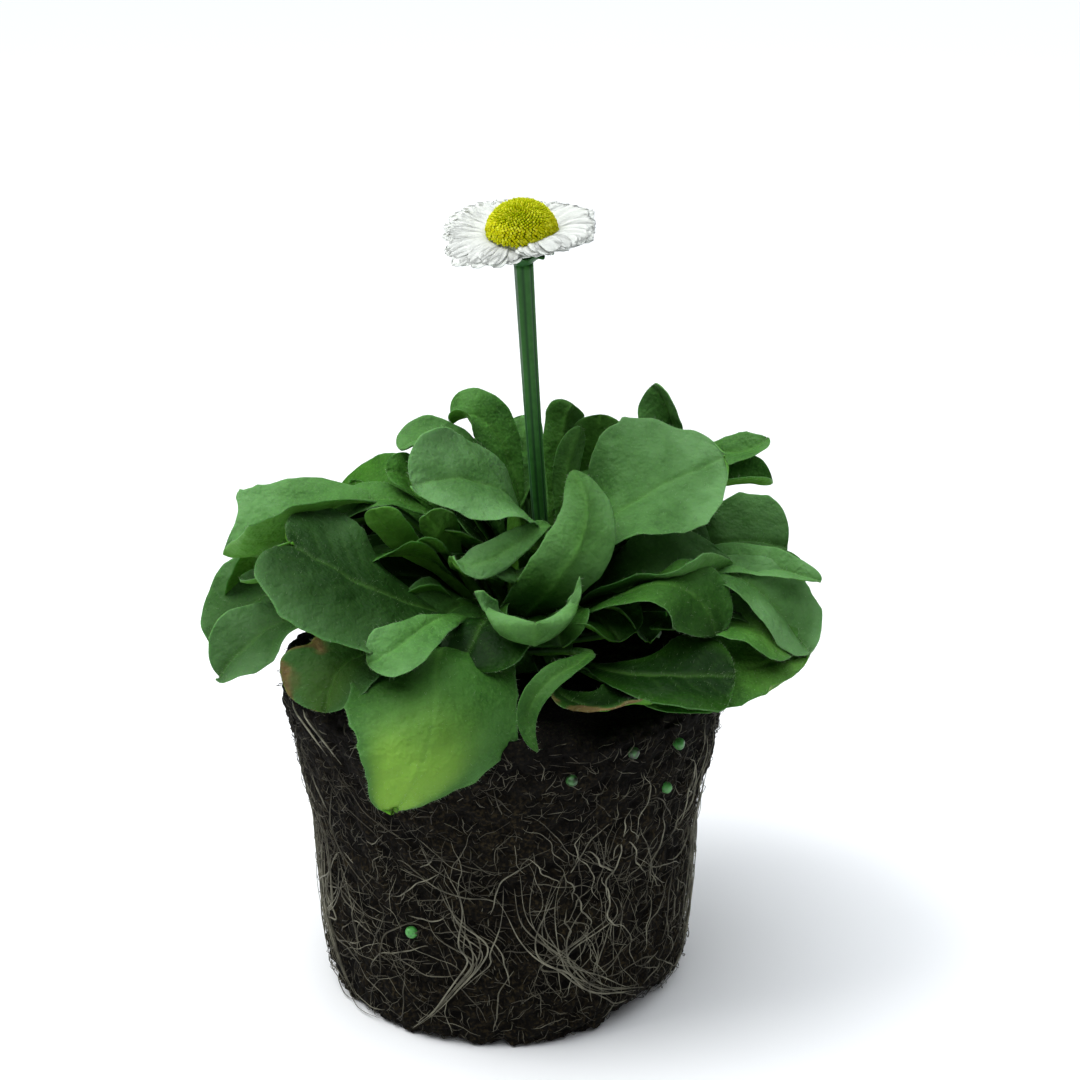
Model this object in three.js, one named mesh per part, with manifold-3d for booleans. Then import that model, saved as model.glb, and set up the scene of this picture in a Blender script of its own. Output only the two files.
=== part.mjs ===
// An English daisy lifted out of its pot: the root ball of dark peat with its net of roots, the
// rosette of spoon-shaped leaves, and one white flower on a tall stalk. Millimetres, +Z up, the
// origin at the middle of the root ball's flat foot, the front towards -Y.

import * as THREE from 'three';
import { mergeVertices } from 'three/addons/utils/BufferGeometryUtils.js';
import Module from 'manifold-3d';

const wasm = await Module();
wasm.setup();
const { Manifold, Mesh: SolidMesh } = wasm;

// Driving dimensions

const GAP = 0.35; // air between one piece and the next

// Root ball, moulded by a 10.5 cm pot: height of the soil, then its radius at rising heights
const SOIL_TOP = 72.5;
const BALL_PROFILE = [
  [36.5, 0], [38.4, 0.8], [39.2, 3.6], [39.5, 8], [39.7, 13], [40.2, 23], [40.8, 37],
  [43.8, 51], [46.3, 63], [47.5, 69.5], [46.3, 71.3],
];
// A chip out of the foot: degrees round from the front, spread in degrees, depth and height
const CHIP = { turn: 48, spread: 15, depth: 5, height: 7 };
const CRUMB_DEPTH = 1.5; // how deep the hollows between the crumbs of peat are
const SOIL_SIDES = 36;

// Roots that run over the outside of the ball, held off it by the room that their straight
// stretches need
const CHORD_ROOM = 0.45;
const ROOT_RADIUS = 0.65;
const HANGING_ROOTS = 14;

// Crown, the short stock that the leaves and the stalk grow from
const CROWN = new THREE.Vector3(3, 0, 75);
const CROWN_RADIUS = 11;
const CROWN_HEIGHT = 13;
const STOCK_RADIUS = 5.5;
const STOCK_DEPTH = 8;

// Leaves
const LEAF_THICKNESS = 0.7;
const LEAF_STALK_THICKNESS = 1.5;
const LEAF_STALK_WIDTH = 2.2;

// Flower stalk and head
const STALK_PATH = [
  [9.6, 3, 77], [8.2, 1, 92], [7.1, 0, 106], [5.5, -3.5, 132], [4.2, -7.4, 156.8]];
const STALK_RADIUS = { low: 1.4, high: 1.85 };
const STALK_RIDGES = 6;
const HEAD = new THREE.Vector3(3.9, -8.2, 161.8);
const HEAD_TILT = THREE.MathUtils.degToRad(12); // towards the front
const DISC = { radius: 7, height: 7 };
const RAY = { count: 17, root: 5.2, width: 2.7, thickness: 0.6 };
const RAY_LAYERS = [{ start: -0.3, rise: 0 }, { start: 0.6, rise: 0.8 }];
const PLATE = { radius: 6.5, under: -0.6, over: 0.8 }; // where the rays meet under the disc
const BRACTS = 13;

// Ends of the white rays round the head: [degrees from +X, distance out, height]. The ones at the
// middle of the front are short, and the ones at the front left hang.
const RAY_ENDS = [
  [-180, 15.3, -0.3], [-165, 15.5, -1.3], [-150, 15.4, -2.2], [-140, 14.4, -2.2],
  [-128, 12.4, -1.5], [-115, 10.2, -1.2], [-93, 8.4, -0.7], [-80, 9.3, 0.4], [-60, 10.9, 1.1],
  [-40, 12.8, 1.5], [-20, 14, 1.4], [10, 14.5, 1.7], [30, 15.8, 1.9], [50, 15.5, 1.5],
  [90, 14.8, 1.3], [110, 15, 2], [130, 15.5, 1.9], [155, 15.6, 1], [180, 15.3, -0.3],
];

// Grains of green coated feed in the peat: degrees round from the front, height
const GRAINS = [[-27.5, 25.4], [48.5, 65], [47, 55.2], [33, 67], [17, 63.5]];
const GRAIN_RADIUS = 1.2;
const GRAIN_SUNK = 0.6; // how far it has settled into the peat

// Colours and finishes

const finish = (colour, roughness) =>
  new THREE.MeshStandardMaterial({ color: colour, roughness, metalness: 0 });
const FINISH = {
  peat: finish('#1d1813', 0.95),
  root: finish('#8a8270', 0.8),
  leaf: finish('#3f6e33', 0.5),
  stalk: finish('#2f6230', 0.55),
  ray: finish('#eef0f2', 0.6),
  disc: finish('#b5b316', 0.7),
  grain: finish('#5fae55', 0.4),
};

// The leaves that show from the front and the sides. through lists the places that the midrib
// passes after it leaves the crown, at a third, two thirds and the whole of its length. roll
// banks the blade, fold lifts its two halves from the midrib and curl bends them on towards
// their edges, each in degrees and either one number or [left, right] looking out along the
// leaf. stem is the share of the length that is bare stalk, full widens the blade near the
// stalk when it is small, blunt squares its tip when it is large, heading and turn set the way
// that the blade faces, and wave is the height of the waves in its edge. lobed is how far the
// edges reach past the tip. nicks lists cuts in the edge: side, share of the length, span, depth.
const SHOWN_LEAVES = [
  { through: [[-11.5, -32, 87], [-12.5, -51.5, 80.5], [-20, -57.3, 63.3]], width: 38, turn: 38,
    stem: 0.1, full: 0.4, blunt: 4, fold: -8, curl: [-16, -6], lobed: [0, 6],
    nicks: [[-1, 0.88, 0.14, 6], [1, 0.45, 0.12, -1], [1, 0.9, 0.13, 7]] },
  { through: [[-9.5, -27, 90.5], [-16, -40, 93], [-24.5, -47, 90]], width: 14, stem: 0.25,
    blunt: 5, roll: 18, fold: [10, 8], nicks: [[-1, 0.42, 0.13, -4]] },
  { through: [[-2, -18, 86], [-4, -29, 89.5], [-8, -38, 84.5]], width: 24, fold: 5, curl: -20 },
  { through: [[6, -18, 86], [6.4, -34, 88.5], [6.5, -42, 95]], width: 29, blunt: 6, fold: 10,
    curl: 80 },
  { through: [[6, -20, 90], [15, -24, 104], [13.5, -17, 117]], width: 14, heading: -90, stem: 0,
    full: 0.6, blunt: 1.3, fold: 10 },
  { through: [[9.4, -15, 104], [1, -22.5, 102], [-9, -25, 101.5]], width: 12, heading: -120,
    roll: 20, fold: -5 },
  { through: [[4, -5, 101], [-4, -11, 113], [-17.5, -19, 115.5]], width: 26, stem: 0, full: 0.55,
    roll: 30, fold: 8, wave: 1.4 },
  { through: [[-1, 3, 97], [-10, 5, 113.5], [-21, 2, 115.5]], width: 13, full: 0.5, roll: 20 },
  { through: [[3, 10, 102], [-3, 13, 117.5], [-11, 12, 118.5]], width: 12, roll: 20 },
  { through: [[4, 14, 95], [4, 20, 108], [3, 25, 116]], width: 10, heading: 80 },
  { through: [[10, 5, 100], [12, 8, 115], [14, 8, 123.5]], width: 10, heading: -90, fold: 20 },
  { through: [[11, -2, 98], [12.5, -1, 110], [15.5, 1, 121]], width: 6, heading: -30, roll: 50 },
  { through: [[14, 8, 98], [19, 10, 112], [20, 10, 121]], width: 12, heading: -100, fold: -15 },
  { through: [[19.5, -11, 103], [31.5, -9, 111.5], [44.5, -5, 116.5]], width: 35, stem: 0.1,
    full: 0.8, blunt: 3, roll: -42, fold: [14, 2], wave: 0.8,
    nicks: [[-1, 0.88, 0.14, 3], [1, 0.6, 0.3, 5], [1, 0.92, 0.15, 4]] },
  { through: [[27, 13, 103], [35, 14, 116], [31, 15, 126]], width: 14, heading: 60, fold: 35 },
  { through: [[30, 8, 106], [45, 5, 114], [54, 5, 117.5]], width: 9, roll: -20 },
  { through: [[30, 4, 100], [45, 2, 108], [55, 0, 110]], width: 12, roll: -20, fold: 45 },
  { through: [[30, 3, 90], [46, 4, 94.8], [59, 4, 94]], width: 24, roll: -32 },
  { through: [[22, -13, 90], [34, -15, 92], [46, -13, 97]], width: 28, stem: 0.1, full: 0.7,
    roll: -26, fold: 42 },
  { through: [[30, -9, 92], [48, -12, 96], [64, -14, 93]], width: 9, full: 0.5, blunt: 1.2,
    roll: -25 },
  { through: [[21, -22, 92], [33.5, -26, 97], [42, -28, 87]], width: 20, stem: 0.15, roll: -20,
    fold: [-20, 10] },
  { through: [[39, -14, 94.5], [53, -17, 90.5], [62, -19, 79.5]], width: 18, stem: 0.2,
    roll: -25 },
  { through: [[30, -16, 84], [46, -20.5, 87], [58, -21, 81]], width: 20, roll: -20,
    fold: [0, 20] },
  { through: [[27, -29, 76.2], [43.7, -30, 78.8], [61.6, -20, 79.5]], width: 26, full: 0.6,
    blunt: 1.3, roll: -26, fold: 5, nicks: [[1, 0.5, 0.3, 2], [1, 0.85, 0.25, 6]] },
  { through: [[22, -30, 80], [34, -36, 82], [45, -35, 81]], width: 23, stem: 0.2, blunt: 3,
    roll: -22, fold: 2 },
  { through: [[16.6, -38, 87], [8.5, -50, 86], [7, -55, 74.5]], width: 7.5, full: 0.4, blunt: 0.8,
    roll: 25, fold: [25, -30] },
  { through: [[11, -34, 77.5], [18, -42, 78], [29, -42, 79]], width: 19 },
  { through: [[-25, -6, 107], [-41, -11.5, 103.5], [-56, -15, 99.5]], width: 31, fold: [34, 40] },
  { through: [[-17, -25, 92], [-29, -32, 100.5], [-40, -31, 107]], width: 40, stem: 0.15,
    full: 0.55, blunt: 6, roll: 25, fold: [-12, 16], curl: [-20, -6], lobed: 8,
    nicks: [[-1, 0.9, 0.2, 2.5], [-1, 0.5, 0.3, 1.5]] },
  { through: [[-25, 0, 86], [-45, -3, 87], [-61, -3, 75]], width: 25, roll: 30 },
  { through: [[-25, -10, 92], [-40, -13, 95], [-53, -14, 93]], width: 9 },
  { through: [[-28, -15, 86], [-45, -20, 86], [-57, -22, 75.5]], width: 16, blunt: 1.2, roll: 15,
    wave: 2 },
  { through: [[-20, -23, 82], [-30, -33.5, 84], [-34, -40.5, 76]], width: 24,
    nicks: [[1, 0.7, 0.05, 2], [1, 0.5, 0.07, 3]] },
  { through: [[-12, -8, 92], [-21, -12, 102], [-25, -15, 109]], width: 8, heading: -90 },
  { through: [[-8, -8, 92], [-12, -10, 100], [-15.5, -12, 106.5]], width: 9, heading: -90,
    fold: 30 },
  { through: [[-12, -4, 100], [-24, -6, 108], [-35, -8, 102]], width: 12, roll: 10 },
  { through: [[-8, 2, 96], [-17, 1, 108], [-24, 0, 112]], width: 10, roll: 30 },
];

// The leaves behind, in three tiers from the lowest out to the steepest, and the young ones at
// the heart. first and last are the headings that a tier fans between, in degrees.
const BACK_TIERS = [
  { count: 8, first: 8, last: 172, reach: 60, arch: 90, tip: 79, width: 27 },
  { count: 6, first: 22, last: 160, reach: 43, arch: 104, tip: 98, width: 22 },
  { count: 3, first: 48, last: 132, reach: 22, arch: 108, tip: 108, width: 14 },
];
const HEART_LEAVES = 4;
const WIDE_LEAF = 25.5; // leaves wider than this have a finer grid of points

// Small tools

const radians = THREE.MathUtils.degToRad;
const clamp = THREE.MathUtils.clamp;
const vector = ([x, y, z]) => new THREE.Vector3(x, y, z);

// A repeatable number from 0 to 1 for each whole number
function chance(k) {
  const s = Math.sin(k * 12.9898) * 43758.5453;
  return s - Math.floor(s);
}

// The value at x on the straight lines between the [x, value] places of a list
function between(places, x) {
  const k = clamp(places.findIndex(([at]) => at >= x), 1, places.length - 1);
  const [[x0, a], [x1, b]] = [places[k - 1], places[k]];
  return THREE.MathUtils.lerp(a, b, clamp((x - x0) / (x1 - x0), 0, 1));
}

function solidFrom(geometry) {
  geometry.deleteAttribute('normal');
  geometry.deleteAttribute('uv');
  const merged = mergeVertices(geometry, 1e-4);
  const vertProperties = new Float32Array(merged.attributes.position.array);
  const triVerts = new Uint32Array(merged.index.array);
  return new Manifold(new SolidMesh({ numProp: 3, vertProperties, triVerts }));
}

function geometryFrom(points, faces) {
  const geometry = new THREE.BufferGeometry();
  const flat = points.flatMap((p) => [p.x, p.y, p.z]);
  geometry.setAttribute('position', new THREE.Float32BufferAttribute(flat, 3));
  geometry.setIndex(faces.flat());
  return geometry;
}

// The biggest of the bodies that a join or a cut leaves
function largest(solid) {
  const bodies = solid.decompose();
  return bodies.reduce((a, b) => (a.volume() > b.volume() ? a : b));
}

const joined = (solids) => Manifold.union(solids);

function mesh(name, solid, material) {
  const { numProp, vertProperties, triVerts } = solid.getMesh();
  const geometry = new THREE.BufferGeometry();
  const position = new THREE.InterleavedBuffer(vertProperties, numProp);
  geometry.setAttribute('position', new THREE.InterleavedBufferAttribute(position, 3, 0));
  geometry.setIndex(new THREE.BufferAttribute(triVerts, 1));
  const piece = new THREE.Mesh(geometry, material);
  piece.name = name;
  return piece;
}

// A closed blade from a grid of points on its middle surface. Both faces are split into
// triangles along the same diagonals, so they stay apart however the blade waves.
function blade(grid, thicknessAt) {
  const rows = grid.length;
  const columns = grid[0].length;
  const along = new THREE.Vector3();
  const across = new THREE.Vector3();
  const upper = [];
  const lower = [];
  grid.forEach((row, i) => row.forEach((p, j) => {
    along.subVectors(grid[Math.min(i + 1, rows - 1)][j], grid[Math.max(i - 1, 0)][j]);
    across.subVectors(row[Math.min(j + 1, columns - 1)], row[Math.max(j - 1, 0)]);
    const half = across.cross(along).setLength(thicknessAt(i / (rows - 1)) / 2);
    upper.push(p.clone().add(half));
    lower.push(p.clone().sub(half));
  }));
  const under = rows * columns;
  const at = (i, j) => i * columns + j;
  const faces = [];
  const quad = (a, b, c, d) => faces.push([a, b, c], [a, c, d]);
  for (let i = 0; i < rows - 1; i += 1) {
    for (let j = 0; j < columns - 1; j += 1) {
      quad(at(i, j), at(i, j + 1), at(i + 1, j + 1), at(i + 1, j));
      const [a, b, c, d] = [at(i, j), at(i, j + 1), at(i + 1, j + 1), at(i + 1, j)];
      faces.push([under + a, under + c, under + b], [under + a, under + d, under + c]);
    }
  }
  const rim = [];
  for (let j = 0; j < columns - 1; j += 1) rim.push(at(0, j));
  for (let i = 0; i < rows - 1; i += 1) rim.push(at(i, columns - 1));
  for (let j = columns - 1; j > 0; j -= 1) rim.push(at(rows - 1, j));
  for (let i = rows - 1; i > 0; i -= 1) rim.push(at(i, 0));
  rim.forEach((a, k) => {
    const b = rim[(k + 1) % rim.length];
    quad(b, a, under + a, under + b);
  });
  return solidFrom(geometryFrom([...upper, ...lower], faces));
}

// A closed body through rings of points, each ring anticlockwise seen from the last one
function loft(rings) {
  const sides = rings[0].length;
  const points = rings.flat();
  const faces = [];
  for (let i = 0; i < rings.length - 1; i += 1) {
    for (let j = 0; j < sides; j += 1) {
      const k = (j + 1) % sides;
      const [a, b] = [i * sides + j, i * sides + k];
      faces.push([a, b, b + sides], [a, b + sides, a + sides]);
    }
  }
  const cap = (ring, turn) => {
    const middle = points.length;
    points.push(rings[ring].reduce((s, p) => s.add(p), new THREE.Vector3()).divideScalar(sides));
    for (let j = 0; j < sides; j += 1) {
      const [a, b] = [ring * sides + j, ring * sides + ((j + 1) % sides)];
      faces.push(turn ? [middle, b, a] : [middle, a, b]);
    }
  };
  cap(0, true);
  cap(rings.length - 1, false);
  return solidFrom(geometryFrom(points, faces));
}

// A ring of points about the vertical, radius given for each angle
const levelRing = (sides, radiusAt, heightAt) => Array.from({ length: sides }, (_, j) => {
  const angle = (2 * Math.PI * j) / sides;
  const r = radiusAt(angle, j);
  return new THREE.Vector3(r * Math.cos(angle), r * Math.sin(angle), heightAt(angle, j));
});

// Root ball

// Radius of the ball's smooth outside at degrees round from the front and a height
function ballRadius(turn, z) {
  const away = THREE.MathUtils.euclideanModulo(turn - CHIP.turn + 180, 360) - 180;
  const side = Math.exp(-((away / CHIP.spread) ** 2));
  const chip = CHIP.depth * side * clamp(1 - z / CHIP.height, 0, 1);
  return between(BALL_PROFILE.map(([r, height]) => [height, r]), z) - chip;
}

// The ball as a plain turned shape, grown by a margin and with its top at a height
function plainBall(margin, top) {
  const profile = [[0, -margin]];
  BALL_PROFILE.forEach(([r, z]) => profile.push([r + margin, z === 0 ? -margin : z]));
  profile.push([BALL_PROFILE.at(-1)[0] + margin, top], [0, top]);
  const points = profile.map(([r, z]) => new THREE.Vector2(r, z));
  return solidFrom(new THREE.LatheGeometry(points, SOIL_SIDES));
}

// The soil: rows up the side and in over the top, each point pressed in by its share of the
// crumb depth, which two crossed waves and a chance share out
function soil() {
  const crumb = (angle, height, k) => {
    const waves = Math.sin(7 * angle + height * 0.31) * Math.sin(5 * angle - height * 0.23);
    return CRUMB_DEPTH * clamp(0.1 + 0.3 * waves + 0.75 * chance(k), 0, 1);
  };
  const sideHeights = [1, 3.6, 8, 14, 20, 26, 32, 38, 44, 50, 56, 62, 67, 69.5];
  const topRadii = [45.5, 36, 22];
  const side = (angle, z) => ballRadius(THREE.MathUtils.radToDeg(angle) + 90, z);
  const rings = [levelRing(SOIL_SIDES, (angle) => side(angle, 0), () => 0)];
  sideHeights.forEach((z, i) => rings.push(levelRing(
    SOIL_SIDES, (angle, j) => side(angle, z) - crumb(angle, z, 97 * i + j), () => z)));
  topRadii.forEach((r, i) => rings.push(levelRing(
    SOIL_SIDES, () => r, (angle, j) => SOIL_TOP - crumb(angle, r, 61 * i + j + 7))));
  const hole = new THREE.CylinderGeometry(STOCK_RADIUS + GAP, STOCK_RADIUS + GAP,
    2 * (STOCK_DEPTH + GAP), 16);
  hole.rotateX(Math.PI / 2).translate(CROWN.x, CROWN.y, SOIL_TOP);
  const beds = GRAINS.map((place) => grainAt(place, GRAIN_RADIUS + GAP));
  return loft(rings).subtract(joined([solidFrom(hole), ...beds]));
}

// Roots

// A strand over the ball's outside through [degrees round from the front, height] places
function strand(places, radius) {
  const points = places.map(([turn, z]) => {
    const r = ballRadius(turn, z) + GAP + radius + CHORD_ROOM;
    const angle = radians(turn - 90);
    return new THREE.Vector3(r * Math.cos(angle), r * Math.sin(angle), z);
  });
  const section = new THREE.Shape();
  section.setFromPoints([90, 210, 330].map((a) => new THREE.Vector2(
    radius * Math.cos(radians(a)), radius * Math.sin(radians(a)))));
  const path = new THREE.CatmullRomCurve3(points);
  return solidFrom(new THREE.ExtrudeGeometry(section, {
    steps: places.length + 1, extrudePath: path, bevelEnabled: false,
  }));
}

// Places that go round by a drift each and from one height to another, with a little sway
const wander = (count, start, drift, from, to, seed) => Array.from({ length: count }, (_, i) => [
  start + drift * i + 8 * (chance(seed * 7 + i) - 0.5),
  from + ((to - from) * i) / (count - 1) + 3 * (chance(seed * 5 + i + 90) - 0.5) * (i % 2),
]);

// Two branching roots low on the front, then roots that wander down the sides and roots that
// circle where the pot's wall met its floor
function rootNet() {
  const strands = [
    strand([[-8, 40], [-8, 26], [-10, 21], [-16, 14], [-27, 8], [-34, 10], [-36, 20]], 0.8),
    strand([[-9, 24], [-18, 27], [-30, 25], [-41, 30]], ROOT_RADIUS),
    strand([[24, 40], [14, 29.5], [13, 23.5], [19, 19.5], [26, 17.5], [40, 18.5]], 0.8),
    strand([[14, 28], [6, 20], [4, 11], [9, 8]], ROOT_RADIUS),
  ];
  for (let k = 0; k < HANGING_ROOTS; k += 1) {
    const start = (360 * (k + 0.8 * chance(k + 11))) / HANGING_ROOTS;
    const drift = 22 * (chance(k + 31) - 0.5);
    const top = 68 - 26 * chance(k + 51);
    strands.push(strand(wander(6, start, drift, top, 6, k), ROOT_RADIUS));
  }
  strands.push(strand(wander(21, 0, 18, 9, 10, 60), ROOT_RADIUS));
  strands.push(strand(wander(10, 150, 18, 10, 20, 61), ROOT_RADIUS));
  const clear = GRAINS.map((place) => grainAt(place, GRAIN_RADIUS + GAP));
  return largest(joined(strands).subtract(joined(clear)));
}

// Leaves

// The blade's half width along it, as a share of its widest, from u = 0 at the end of the
// stalk to u = 1 at the tip
function spoon(u, full, blunt) {
  const shape = (s) => s ** full * Math.sqrt(Math.max(0, 1 - s ** blunt));
  const widest = (full / (full + blunt / 2)) ** (1 / blunt);
  return shape(u) / shape(widest);
}

// A cubic through four points at 0, 1/3, 2/3 and 1 of its length
function midribPoint(points, t) {
  const [a, b, c, d] = [3 * t - 1, 3 * t - 2, t - 1, t];
  const shares = [(-a * b * c) / 2, (9 * d * b * c) / 2, (-9 * d * a * c) / 2, (d * a * b) / 2];
  return points.reduce((sum, p, k) => sum.addScaledVector(p, shares[k]), new THREE.Vector3());
}

const UP = new THREE.Vector3(0, 0, 1);
const pair = (value) => (Array.isArray(value) ? value : [value, value]);

function leaf(shape) {
  const {
    through, width, roll = 0, fold = 12, curl = 0, stem = 0.3, full = 0.85, blunt = 3.2,
    turn = 0, wave = 0, phase = 0, lobed = 0, nicks = [],
  } = shape;
  const tip = through[2];
  const out = 'heading' in shape
    ? radians(shape.heading) : Math.atan2(tip[1] - CROWN.y, tip[0] - CROWN.x);
  const heading = new THREE.Vector3(Math.cos(out), Math.sin(out), 0);
  const steep = clamp((tip[2] - CROWN.z) / 40, 0, 1);
  const root = CROWN.clone().addScaledVector(heading, THREE.MathUtils.lerp(6.5, 3, steep));
  root.z += THREE.MathUtils.lerp(-0.5, 3, steep);
  const points = [root, ...through.map(vector)];
  const level = heading.clone().applyAxisAngle(UP, radians(turn) - Math.PI / 2);
  const rows = width > WIDE_LEAF ? 6 : 4;
  const cells = width > WIDE_LEAF ? 4 : 2;
  const grid = [];
  for (let i = 0; i <= rows; i += 1) {
    const t = 1 - (1 - i / rows) ** 1.6; // rows gather towards the round tip
    const middle = midribPoint(points, t);
    const ahead = midribPoint(points, t + 1e-3).sub(midribPoint(points, t - 1e-3)).normalize();
    const side = level.clone().addScaledVector(ahead, -level.dot(ahead)).normalize();
    side.applyAxisAngle(ahead, -radians(roll) * clamp((t - 0.1) / 0.45, 0, 1));
    const face = side.clone().cross(ahead);
    const u = clamp((t - stem) / (1 - stem), 0, 1);
    const bare = (LEAF_STALK_WIDTH / 2) * (1 - u);
    const half = Math.max(bare, (width / 2) * spoon(u, full, blunt), 0.4);
    const open = clamp((t - 0.6 * stem) / 0.45, 0, 1);
    const row = [];
    for (let j = 0; j <= cells; j += 1) {
      const v = (2 * j) / cells - 1;
      const k = v > 0 ? 1 : 0;
      const reach = Math.abs(v);
      const angle = open * (radians(pair(fold)[k]) + (radians(pair(curl)[k]) * reach) / 2);
      const ripple = wave * reach * reach * open * clamp((1 - t) * 5 + 0.35, 0, 1)
        * Math.sin(2 * Math.PI * 2.2 * t + phase + 1.9 * k);
      const cut = nicks.filter(([nickSide]) => (nickSide > 0) === (v > 0)).reduce(
        (sum, [, at, span, depth]) => sum + depth * reach ** 2 * Math.exp(-(((t - at) / span) ** 2)),
        0);
      const across = Math.max(half * reach - cut, 0);
      const sweep = pair(lobed)[k] * Math.sqrt(across / (width / 2)) * t ** 3;
      row.push(middle.clone()
        .addScaledVector(side, Math.sign(v) * across * Math.cos(angle))
        .addScaledVector(face, across * Math.sin(angle) + ripple)
        .addScaledVector(ahead, sweep));
    }
    grid.push(row);
  }
  const thickness = (t) => THREE.MathUtils.lerp(
    LEAF_STALK_THICKNESS, LEAF_THICKNESS, clamp((t - 0.6 * stem) / 0.3, 0, 1));
  return blade(grid, thickness);
}

// A leaf that arches out from the crown on one heading
function archedLeaf({ heading, reach, arch, tip, ...rest }) {
  const angle = radians(heading);
  const place = (share, z) => [
    CROWN.x + share * reach * Math.cos(angle), CROWN.y + share * reach * Math.sin(angle), z];
  const through = [
    place(0.38, CROWN.z + 0.72 * (arch - CROWN.z)), place(0.72, arch), place(1, tip)];
  return leaf({ through, ...rest });
}

function backLeaves() {
  const leaves = [];
  let k = 0;
  BACK_TIERS.forEach((tier) => {
    for (let i = 0; i < tier.count; i += 1) {
      k += 1;
      const share = (i + 0.5 * (chance(k) - 0.5)) / (tier.count - 1);
      leaves.push(archedLeaf({
        heading: tier.first + (tier.last - tier.first) * share,
        reach: tier.reach * (0.92 + 0.16 * chance(k + 50)),
        arch: tier.arch + 6 * (chance(k + 100) - 0.5),
        tip: tier.tip + 8 * (chance(k + 150) - 0.5),
        width: tier.width * (0.85 + 0.3 * chance(k + 200)),
        roll: 30 * (chance(k + 250) - 0.5),
        fold: 18,
        wave: 1.5,
        phase: 6 * chance(k + 300),
      }));
    }
  });
  for (let i = 0; i < HEART_LEAVES; i += 1) {
    k += 1;
    leaves.push(archedLeaf({
      heading: (360 * i) / HEART_LEAVES + 30 * chance(k),
      reach: 14 + 6 * chance(k + 50),
      arch: 90 + 8 * chance(k + 90),
      tip: 94 + 8 * chance(k + 100),
      width: 9,
      fold: 30,
    }));
  }
  return leaves;
}

// The crown: a low dome on the soil, and under it the stock that stands in the soil's hole
function crown() {
  const floor = SOIL_TOP + GAP;
  const rows = [[-STOCK_DEPTH, STOCK_RADIUS * 0.6], [-STOCK_DEPTH + 2, STOCK_RADIUS],
    [0, STOCK_RADIUS], [0.01, CROWN_RADIUS - 1], [1.5, CROWN_RADIUS],
    [CROWN_HEIGHT * 0.6, CROWN_RADIUS * 0.8], [CROWN_HEIGHT, CROWN_RADIUS * 0.35]];
  return loft(rows.map(([z, r]) => levelRing(14, () => r, () => floor + z)
    .map((p) => p.add(new THREE.Vector3(CROWN.x, CROWN.y, 0)))));
}

function rosette() {
  const leaves = joined([...SHOWN_LEAVES.map(leaf), ...backLeaves()]);
  const aboveSoil = leaves.subtract(plainBall(2, SOIL_TOP + GAP));
  return largest(joined([aboveSoil, crown()]).subtract(stalk(GAP)));
}

// Flower

const stalkCurve = new THREE.CatmullRomCurve3(STALK_PATH.map(vector));
const tilt = new THREE.Matrix4().makeRotationX(HEAD_TILT).setPosition(HEAD);
const onHead = (p) => p.applyMatrix4(tilt);

// The round stalk with its lengthwise ridges, grown by a margin
function stalk(margin) {
  const steps = 10;
  const rings = [];
  for (let i = 0; i <= steps; i += 1) {
    const t = i / steps;
    const centre = stalkCurve.getPoint(t);
    if (i === 0) centre.z -= margin;
    const ahead = stalkCurve.getTangent(t);
    const right = new THREE.Vector3(1, 0, 0).addScaledVector(ahead, -ahead.x).normalize();
    const back = ahead.clone().cross(right);
    const r = THREE.MathUtils.lerp(STALK_RADIUS.low, STALK_RADIUS.high, t ** 2) + margin;
    rings.push(levelRing(2 * STALK_RIDGES, (_, j) => r * (1 + (j % 2 ? -0.06 : 0.06)), () => 0)
      .map((p) => centre.clone().addScaledVector(right, p.x).addScaledVector(back, p.y)));
  }
  return loft(rings);
}

// A tongue of the head, narrow at its root and round at its end: places along it are given as
// a share of its length, and profile turns a share into a height above the head's middle
function tongue({ heading, root, reach, width, profile, thickness }) {
  const steps = 3;
  const grid = [];
  for (let i = 0; i <= steps; i += 1) {
    const s = i / steps;
    const r = root + (reach - root) * s;
    const half = (width / 2) * (0.55 + 0.45 * Math.min(1, 2.2 * s)) * Math.sqrt(1.3 - s ** 6);
    grid.push([-half, half].map((y) =>
      onHead(new THREE.Vector3(r, y, profile(s)).applyAxisAngle(UP, heading))));
  }
  return blade(grid, () => thickness);
}

// Two layers of rays that end where RAY_ENDS says
function rays() {
  const plate = [PLATE.under, PLATE.over].map((z) =>
    levelRing(24, () => PLATE.radius, () => z).map(onHead));
  const blades = [];
  RAY_LAYERS.forEach(({ start, rise }, layer) => {
    for (let k = 0; k < RAY.count; k += 1) {
      const n = layer * RAY.count + k;
      const turn = (360 * (k + layer / 2 + 0.3 * (chance(n + 400) - 0.5))) / RAY.count;
      const heading = turn > 180 ? turn - 360 : turn;
      const end = rise + between(RAY_ENDS.map(([at, , z]) => [at, z]), heading);
      blades.push(tongue({
        heading: radians(heading),
        root: RAY.root,
        reach: between(RAY_ENDS, heading) * (0.95 + 0.05 * chance(n + 450)),
        width: RAY.width,
        profile: (s) => THREE.MathUtils.lerp(start, end, s ** 1.6),
        thickness: RAY.thickness,
      }));
    }
  });
  return largest(joined([loft(plate), ...blades]));
}

// The dome of small florets, as a relief of knobs on a grid
function disc() {
  const rows = 8;
  const floor = PLATE.over + GAP;
  const rings = [levelRing(24, () => DISC.radius * 0.86, () => floor)];
  for (let i = 0; i < rows; i += 1) {
    const rise = (i + 0.4) / rows;
    const r = DISC.radius * Math.cos(radians(86 * rise)) ** 0.8;
    const z = floor + 0.5 + (DISC.height - 1) * Math.sin(radians(90 * rise));
    const knob = (j) => ((i + j) % 2 ? 0.3 : -0.3) * Math.min(1, r / 3);
    rings.push(levelRing(24, (_, j) => r + knob(j), (_, j) => z + 0.5 * knob(j)));
  }
  return loft(rings.map((ring) => ring.map(onHead)));
}

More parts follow.
